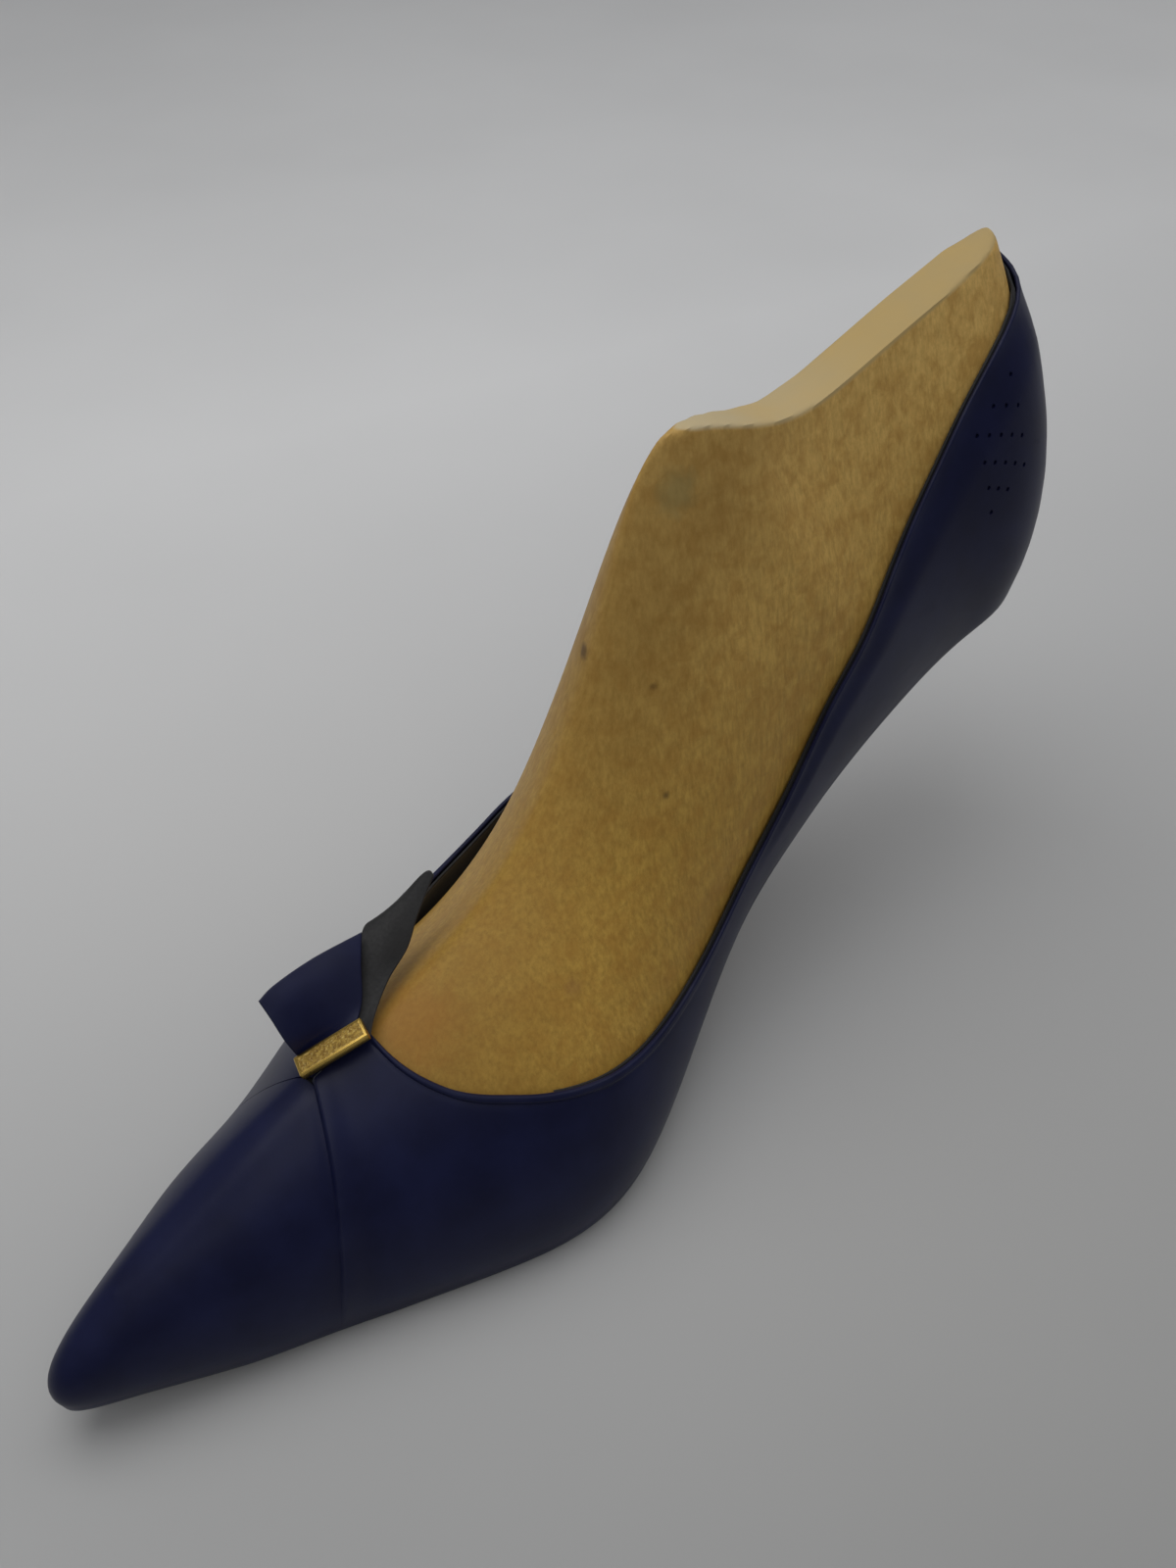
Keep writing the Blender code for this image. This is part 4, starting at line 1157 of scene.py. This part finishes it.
t = column_stations(0, PUFF_END, 1.5, close_start=False)
edges = dict.fromkeys(("top", "end", "last"), STIFFENER / 2)
settle(stiffener("toe_stiffener", t, 1.0, edges, True), "stiffener", "toe_puff")
t = column_stations(COUNTER_START, 1.0, 2.0, close_end=False)
edges["first"] = STIFFENER / 2
settle(stiffener("heel_stiffener", t, COUNTER_TOP, edges, False), "stiffener", "heel_counter")

# %% [markdown]
# ### Vamp and quarters
#
# These are what the eye sees first. The vamp covers the toe. The inner quarter's front
# edge is turned in and laps over the vamp, a raised line that fades towards the feather
# edge; the outer quarter meets the vamp flush. The topline is finished with a narrow
# rolled bead. Under the toe and the heel there is more leather than room for it, so it
# is drawn into small pleats. All three are *relief*: a small extra distance of the outer
# skin, worked out from how far a point is from an edge. That keeps them in the mesh,
# where they catch real light.

# %% Relief of the kid
BEAD, BEAD_RISE, GROOVE, GROOVE_WIDTH = 1.6, 0.36, 0.16, 0.28
LAP_RISE, LAP_SHOULDER, LAP_FADE, LAP_FOOT, TUCK = 0.75, 0.9, 6.0, 14.0, 0.002
LAP_DIP, LAP_DIP_REACH = 0.25, 1.6
PLEAT_STATIONS, PLEAT_RISE, PLEAT_REACH = 0.0125, 0.45, (1.0, 5.0)
TOE_PLEATS, HEEL_PLEATS, BEAD_FADES = (0.075, 0.12), (0.88, 0.93), (0.36, 0.66)
EDGE_WEAR = 1.6


def bead_relief(from_top, t):
    """The rolled bead along the topline and the crease under it."""
    across = (from_top - BEAD / 2) / (BEAD / 2)
    roll = BEAD_RISE * np.sqrt(np.maximum(1 - across**2, 0))
    crease = GROOVE * np.exp(-(((from_top - BEAD - GROOVE_WIDTH) / GROOVE_WIDTH) ** 2))
    strength = ease(t, THROAT_FEATHER, THROAT_FEATHER + 0.012) * (1 - ease(t, *BEAD_FADES))
    return (roll - crease) * strength[:, None]


def pleat_relief(past_edge, t):
    """Pleats under the toe and the heel, deeper further in."""
    gathered = 1 - ease(t, *TOE_PLEATS) + ease(t, *HEEL_PLEATS)
    fold = np.abs(np.sin(math.pi * t / PLEAT_STATIONS))
    return PLEAT_RISE * (gathered * fold)[:, None] * ease(past_edge, *PLEAT_REACH)


# %% Vamp
t = column_stations(0, LAP_FEATHER + TUCK, 0.9, close_start=False)
points, away, far, wall_rows = over_the_ridge(t, upper_distance, UPPER_UNDER)
half_rows = points.shape[1] // 2
from_ridge, _ = run_along(points[:, half_rows:], 1)
past_edge = from_ridge - from_ridge[:, wall_rows:wall_rows + 1]
past_edge = np.concatenate([past_edge[:, :0:-1], past_edge], axis=1)
from_lap = run_along(points, 0)[1] - TUCK / STATION_PER_MM
on_inner_side = np.arange(points.shape[1])[None] < half_rows
dip = LAP_DIP * np.exp(-((from_lap / LAP_DIP_REACH) ** 2)) * on_inner_side
dip = dip * ease(-past_edge, 0.0, LAP_FOOT)
edges = {"top": UPPER / 2, "end": UPPER / 2, "last": SHUT}
relief = pleat_relief(past_edge, t) - dip
outer, inner, _ = two_skins(points, away, far, UPPER, edges, relief)
soften_vamp((outer, inner), wall_rows)
vamp = skin_piece("kid_vamp", outer, inner, kid, {"edge": np.zeros(outer.shape[:2])})
settle(vamp, "navy_kid", "vamp")

# %% [markdown]
# A patch of small punched dots sits high on the inner side of the heel. Here it is a
# plain staggered grid. Each dot is a blind hole, cut with a Boolean by the pins that
# the punch tree grows on the leather's surface.

# %% Punches
DOT_STATION, DOT_SHARE = 0.934, 0.74
DOT_ROWS, DOT_COLUMNS, DOT_STEP_T, DOT_STEP_SHARE = 7, 3, 0.0125, 0.050


def dot_places():
    """Stations and shares of a staggered grid on the inner quarter."""
    places = []
    for row in range(DOT_ROWS):
        share = DOT_SHARE + (row - (DOT_ROWS - 1) / 2) * DOT_STEP_SHARE
        columns = DOT_COLUMNS - row % 2
        for column in range(columns):
            lean = (share - DOT_SHARE) * 0.03
            from_middle = (column - (columns - 1) / 2) * DOT_STEP_T
            places.append((DOT_STATION + lean + from_middle, share))
    return np.array(places).T


def punches():
    t, share = dot_places()
    station, height = place_on_wall(INNER, t, share)
    axes = wall_normal(station, height)
    points = wall(station, height) + axes * (upper_distance(t, share) + UPPER)[:, None]
    return grown("punches", punch_tree, points, axes, {"Material": kid})


# %% Quarters
RIDGE_SEAM = 0.006
for side, word in quarter_sides:
    laps = side == INNER
    start = LAP_FEATHER + SEAM + (0 if laps else TUCK)
    t = column_stations(start, HEEL_END, 1.3)
    distance = upper_distance if laps else gaping(upper_distance)
    points, away, far, wall_rows = lasted_lines(side, t, distance, UPPER_UNDER, seam=RIDGE_SEAM)
    from_top, _ = run_along(points, 1)
    past_edge = from_top - from_top[:, wall_rows:wall_rows + 1]
    from_lap, _ = run_along(points, 0)
    lap = laps * LAP_RISE * ease(from_lap, 0.0, LAP_SHOULDER)
    lap = lap * (1 - ease(from_lap, LAP_SHOULDER, LAP_FADE)) * ease(-past_edge, 0.0, LAP_FOOT)
    relief = bead_relief(from_top, t) + lap + pleat_relief(past_edge, t)
    edges = {"top": UPPER / 2, "end": UPPER / 2, "last": TIGHT}
    edges["first"] = UPPER / 2 if laps else SHUT
    outer, inner, distances = two_skins(points, away, far, UPPER, edges, relief)
    for skin in (outer, inner):
        soften(skin, wall_rows + CORNER_ROWS // 2, CORNER_REACH, CORNER_PASSES)
    worn = np.exp(-distances[0] / EDGE_WEAR)
    if laps:
        worn = np.maximum(worn, np.exp(-distances[2] / EDGE_WEAR))
    quarter = skin_piece(f"kid_{word}_quarter", outer, inner, kid, {"edge": worn})
    if side == INNER:
        boolean(quarter, punches(), "DIFFERENCE")
        quarter.data.set_sharp_from_angle(angle=SHARP)
    settle(quarter, "navy_kid", f"{word}_quarter")

# %% [markdown]
# ## The bow and the gilt bar
#
# The bow is a strip of the same kid, gathered under a gilt bar: one lobe stands up in
# front with its good side out, the other folds back and shows its black side. Each
# lobe is a sheet lofted over a few ribs, from its root under the bar to its free edge.

# %% Bow and bar sizes
BAR_CENTRE = Vector((53.6, -0.6, 43.8))
BAR_LENGTH, BAR_WIDTH, BAR_HEIGHT = 13.0, 4.2, 1.6
BAR_YAW, BAR_PITCH = -19.4, -19.0
LEG_SIZE, LEG_CENTRE = (3.6, 0.6, 3.8), Vector((52.4, 0.0, 41.4))
BOW, ROOT_ACROSS, FOLD_ACROSS = 0.5, 1.3, 2.8
FRONT_LOBE = (
    ((48.3, 5.0, 45.6), (53.4, 4.4, 45.9), (58.4, 3.4, 46.3), (62.5, 2.4, 46.0)),
    ((48.0, 7.5, 49.3), (53.0, 7.4, 49.9), (58.0, 7.1, 49.8), (65.6, 6.0, 49.3)),
    ((47.9, 10.2, 51.7), (51.5, 10.8, 52.1), (59.5, 11.0, 52.0), (69.1, 9.8, 52.0)),
)
REAR_LOBE = (
    ((60.4, 2.2, 44.1), (62.0, 1.0, 43.9), (63.3, -0.2, 44.2)),
    ((64.2, 5.9, 46.2), (66.2, 4.0, 46.3), (68.4, 2.4, 46.2)),
    ((67.8, 9.0, 49.4), (70.6, 6.4, 49.3), (74.3, 4.4, 48.1)),
    ((70.9, 11.4, 50.4), (75.4, 9.2, 51.8), (78.7, 6.4, 51.4)),
    (
        (74.4, 10.8, 50.0), (77.2, 10.8, 51.4), (81.0, 10.4, 53.6),
        (84.3, 9.8, 55.8), (84.7, 8.6, 55.4),
    ),
)


def bar_axes():
    """The bar's long axis, its axis across and its outward axis."""
    yaw, pitch = math.radians(BAR_YAW), math.radians(BAR_PITCH)
    level = math.cos(pitch)
    length = Vector((math.cos(yaw) * level, math.sin(yaw) * level, -math.sin(pitch)))
    across = Vector((0, 0, 1)).cross(length).normalized()
    return length, across, length.cross(across)


def under_bar(along, across, below):
    """A point in the bar's own axes, below its underside."""
    length, side, out = bar_axes()
    return tuple(BAR_CENTRE + length * along + side * across - out * (BAR_HEIGHT / 2 + below))


# %% Lobes
LOBE_ACROSS, LOBE_ALONG = 44, 56


def smooth_line(points, places):
    points = np.array(points, float)
    knots = np.linspace(0, 1, len(points))
    slopes = np.gradient(points, knots, axis=0)
    axes = zip(points.T, slopes.T)
    return np.stack([read_curve(knots, values, run, places) for values, run in axes], axis=-1)


def close_to_ends(count):
    """Places from 0 to 1, close together at both ends, where the edge is rounded."""
    rim = np.array((0.0, 0.0015, 0.006, 0.013, 0.022))
    return np.concatenate([rim, np.linspace(0, 1, count)[2:-2], 1 - rim[::-1]])


def lobe(name, ribs, material):
    """A bent sheet of leather from its root to its free edge, with rounded edges."""
    ribs = [smooth_line(rib, close_to_ends(LOBE_ACROSS)) for rib in ribs]
    points = np.stack([smooth_line(line, close_to_ends(LOBE_ALONG)) for line in zip(*ribs)])
    away = unit(np.cross(np.gradient(points, axis=0), np.gradient(points, axis=1)))
    edges = dict.fromkeys(("top", "end", "first", "last"), BOW / 2)
    outer, inner, distances = two_skins(points, away, np.zeros(points.shape[:2]), BOW, edges)
    nearest = np.minimum.reduce(distances)
    return skin_piece(name, outer, inner, material, {"edge": np.exp(-nearest / EDGE_WEAR)})


below = GAP + BOW
root = [under_bar(along, ROOT_ACROSS, below) for along in (-5.6, -2.8, 0, 2.8)]
fold = [under_bar(along, FOLD_ACROSS, BOW) for along in (-5.9, -2.2, 1.5, 5.2)]
settle(lobe("bow_navy_lobe", [root, fold, *FRONT_LOBE], kid), "navy_kid", "bow_front_lobe")
root = [under_bar(*place, below) for place in ((4.4, -0.2), (5.2, -0.8), (6.0, -1.4))]
settle(lobe("bow_black_lobe", [root, *REAR_LOBE], lining_skin), "black_lining", "bow_rear_lobe")

# %% [markdown]
# The bar is cast brass, gilt, with filed edges. A Bevel in bmesh rounds them, and the
# face is inset from its rim, so that the material can keep the rim bright. Its leg
# goes down into the seam and is fused to it with a Boolean.

# %% Gilt bar
BAR_BEVEL, BAR_RIM, BAR_SHARP = 0.42, 0.28, math.radians(35)


def block(name, size, centre, axes, bevel=0.0, rim=0.0):
    """A block with its edges along axes; with a rim, its outward face is marked."""
    bm = bmesh.new()
    bmesh.ops.create_cube(bm, size=1.0)
    bmesh.ops.scale(bm, vec=size, verts=bm.verts)
    if bevel:
        rounding = {"offset": bevel, "segments": 3, "profile": 0.6, "affect": "EDGES"}
        bmesh.ops.bevel(bm, geom=bm.edges[:], **rounding)
        marks = bm.verts.layers.float.new("face")
        top = max(bm.faces, key=lambda f: f.calc_center_median().z * (f.calc_area() > size[0]))
        bmesh.ops.inset_region(bm, faces=[top], thickness=rim)
        for vertex in top.verts:
            vertex[marks] = 1.0
    turn = Matrix([list(axis) for axis in axes]).transposed().to_4x4()
    bmesh.ops.transform(bm, matrix=Matrix.Translation(centre) @ turn, verts=bm.verts)
    for vertex in bm.verts:
        vertex.co = to_metres(vertex.co)
    made = bpy.data.meshes.new(name)
    bm.to_mesh(made)
    bm.free()
    shade(made, BAR_SHARP)
    return put_in_scene(name, made)


bar_size = (BAR_LENGTH, BAR_WIDTH, BAR_HEIGHT)
bar = block("gilt_bar", bar_size, BAR_CENTRE, bar_axes(), BAR_BEVEL, BAR_RIM)
bar_length = bar_axes()[0]
along_seam = Vector((bar_length.x, 0, bar_length.z)).normalized()
leg_axes = (along_seam, Vector((0, 1, 0)), along_seam.cross(Vector((0, 1, 0))))
boolean(bar, block("bar_leg", LEG_SIZE, LEG_CENTRE, leg_axes), "UNION")
bar.data.materials.clear()
bar.data.materials.append(gilt)
settle(bar, "gilt_bar", "ornament_bar")

# %% [markdown]
# ## Tacks and rivets
#
# Three tacks hold the insole board, six hold the leather at the seat, and two rivets
# hold the shank. All are driven square to the bottom.

# %% Nails
UNDER_BOARD = GAP + INSOLE
UNDER_UPPER = UNDER_BOARD + UPPER_UNDER + UPPER
SHANK = 1.2
UNDER_SHANK = UNDER_BOARD + GAP + SHANK
INSOLE_TACKS = {"toe": 0.215, "joint": 0.42, "heel": 0.818}
LASTING_TACKS, LASTING_INSET = (0.87, 0.92, 0.965), 4.5
SHANK_RIVETS = {"front": 0.53, "rear": 0.76}
RIVET = {"Length": 0.0024, "Taper": 0.0003, "Tip": 0.0009, "Radius": 0.0012}
RIVET |= {"Head": 0.0024, "Rise": 0.0006, "Tilt": 0.0}


def nails_on_spine(name, places, depth, values):
    t = np.array(list(places.values()))
    seats = spine(t) + down(t) * depth
    return grown(name, nail_tree, seats, down(t), {"Material": iron, **values})


insole_tacks = nails_on_spine("insole_tacks", INSOLE_TACKS, UNDER_BOARD, {})
settle(insole_tacks, "tack_iron", *[f"insole_tack_{word}" for word in INSOLE_TACKS])
rivets = nails_on_spine("shank_rivets", SHANK_RIVETS, UNDER_SHANK, RIVET)
settle(rivets, "tack_iron", *[f"shank_rivet_{word}" for word in SHANK_RIVETS])
t = np.array([side * t for side in (INNER, OUTER) for t in LASTING_TACKS])
reach = np.linalg.norm(spine(t) - feather(t), axis=-1)
seats = bottom(t, LASTING_INSET / reach, UNDER_UPPER)
lasting_tacks = grown("lasting_tacks", nail_tree, seats, down(t), {"Material": iron, "Seed": 5})
nodes = [f"lasting_tack_{word}_{number}" for word in ("medial", "lateral") for number in (1, 2, 3)]
settle(lasting_tacks, "tack_iron", *nodes)

# %% [markdown]
# ## The CAD's own pieces
#
# The insole board, the shank, the heel plate and its screws keep their CAD shapes.
# Each gets its finish by assigning a material to its slot.

# %% Finishes for CAD nodes
CAD_FINISHES = {
    "screw": iron,
    "insole_board": board,
    "steel_shank": steel,
    "heel_plate": steel,
}
shown = 0
for name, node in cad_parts.items():
    finish = next((value for word, value in CAD_FINISHES.items() if word in name), None)
    if finish and not node.hide_render:
        for slot_of_node in node.material_slots:
            slot_of_node.material = finish
        shown += 1
print("CAD nodes with a new finish:", shown)

# %% [markdown]
# ## Old marks in the wood
#
# The last has a dark brown spot on its ridge, a greenish smudge under the comb, a warm
# stain behind the throat that is widened and darkened into a painted shadow beside the
# bow's black lobe, a small red spot and two specks. Each is a blot in the wood's colour.

# %% Marks
MARKS = (
    ("ridge spot", (0.64, 0.93), 1.6, (0.10, 0.055, 0.02), 0.75),
    ("comb smudge", (-0.735, 0.86), 4.2, (0.30, 0.25, 0.10), 0.5),
    # The throat stain is partly a real warm stain and partly painted shadow beside the bow's black
    # lobe.
    ("throat stain and painted shadow", (-0.36, 0.9), 9.0, (0.36, 0.155, 0.03), 0.5),
    ("red spot", (-0.475, 0.62), 1.8, (0.28, 0.13, 0.045), 0.4),
    ("dark speck", (-0.62, 0.6), 0.9, (0.07, 0.04, 0.02), 0.6),
    ("brown speck", (-0.655, 0.74), 0.8, (0.14, 0.07, 0.02), 0.6),
)
for title, (t_mark, v_mark), radius, colour, strength in MARKS:
    centre = tuple(to_metres(wall(t_mark, v_mark)))
    mark = {"Place": wood_place, "Centre": centre, "Radius": radius * MM, "Ragged": 0.35}
    mask = use_group(wood_tree, blot, **mark)["Mask"]
    wood_colour = layered(wood_tree, wood_colour, (mask, strength, colour))
feed(wood_tree, wood_inputs, Base_Color=wood_colour)
print("marks:", [mark[0] for mark in MARKS])

# %% [markdown]
# ## Floor and light
#
# The object stands on plain pale cloth. Its colour is painted darker towards the viewer,
# a painted shade for the light falling off, and soft patches of painted shade stand for
# folds. The light is soft: one lamp above, a window to the right, a weaker one for the
# room behind the camera, and a pale world that fills the shadows.

# %% Floor
FLOOR_HALF = 3.0
CLOTH_FAR, CLOTH_NEAR_PAINTED_SHADE = (0.80, 0.80, 0.80), (0.335, 0.335, 0.33)
CLOTH_SHADE = (0.53, 0.53, 0.53)
cloth, tree, shader, place = new_material("pale cloth", CLOTH_FAR, 0.95, specular=0.1)
# Painted shade: the cloth's colour is painted darker towards the viewer, for the light falling off.
away_from_viewer = {0: place, 1: (0.4, 1.3, 0.0)}
further = put(tree, "ShaderNodeVectorMath", away_from_viewer, operation="DOT_PRODUCT")
further = spread(tree, further.outputs["Value"], -0.25, 0.35)
tone = mixed(tree, further, CLOTH_NEAR_PAINTED_SHADE, CLOTH_FAR)
# Painted shade: soft patches of darker colour stand for shade in folds of the cloth.
painted_fold_shade = spread(tree, noise(tree, place, 7.0, 3.0), 0.35, 0.7, 0.0, 0.14)
feed(tree, shader, Base_Color=mixed(tree, painted_fold_shade, tone, CLOTH_SHADE))
corners = ((-1, -1), (1, -1), (1, 1), (-1, 1))
corners = [(x * FLOOR_HALF, y * FLOOR_HALF, 0) for x, y in corners]
floor_mesh = bpy.data.meshes.new("floor")
floor_mesh.from_pydata(corners, [], [(0, 1, 2, 3)])
floor_mesh.materials.append(cloth)
floor = put_in_scene("floor", floor_mesh)
floor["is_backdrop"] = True

# %% Lamps
LAMPS = (
    ("overhead", (-0.05, 0.12, 0.60), (0, 0.05, 0), 0.5, 1.3),
    ("window", (0.80, -0.10, 0.80), (0, 0, 0.03), 0.8, 1.1),
    ("room behind the camera", (-0.40, -0.60, 1.00), (0, 0, 0.03), 0.6, 1.0),
)
for name, place, aim, size, power in LAMPS:
    lamp = put_in_scene(name, bpy.data.lights.new(name, "AREA"))
    lamp.data.shape, lamp.data.size, lamp.data.energy = "SQUARE", size, power
    lamp.location = place
    towards = Vector(aim) - Vector(place)
    lamp.rotation_euler = towards.to_track_quat("-Z", "Y").to_euler()

# %% The pale world
WORLD_COLOUR = (0.97, 0.98, 1.0)
LOW_STRENGTH, HIGH_STRENGTH, SEEN_STRENGTH = 0.075, 0.38, 0.48
world = bpy.data.worlds.new("pale room")
world.use_nodes = True
tree = world.node_tree
background = tree.nodes["Background"].inputs
seen = put(tree, "ShaderNodeLightPath").outputs["Is Camera Ray"]
steepness = axis_of(tree, put(tree, "ShaderNodeTexCoord").outputs["Generated"], "Z")
strength = spread(tree, steepness, 0.0, 0.85, LOW_STRENGTH, HIGH_STRENGTH)
mix = put(tree, "ShaderNodeMix", {0: seen, 2: strength, 3: SEEN_STRENGTH})
feed(tree, background, Color=WORLD_COLOUR, Strength=mix.outputs[0])
bpy.context.scene.world = world
bpy.context.scene.view_settings.view_transform = "Standard"

# %% [markdown]
# ## Sizes before and after
#
# The pieces made here should fill the same box as the CAD's. The sizes of both boxes
# are printed.

visual_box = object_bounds()
boxes = {"cad": [list(corner) for corner in cad_box], "visual": [list(corner) for corner in visual_box]}
for name, (low, high) in boxes.items():
    print(name, "size in mm:", [round((h - l) / MM, 2) for l, h in zip(low, high)])
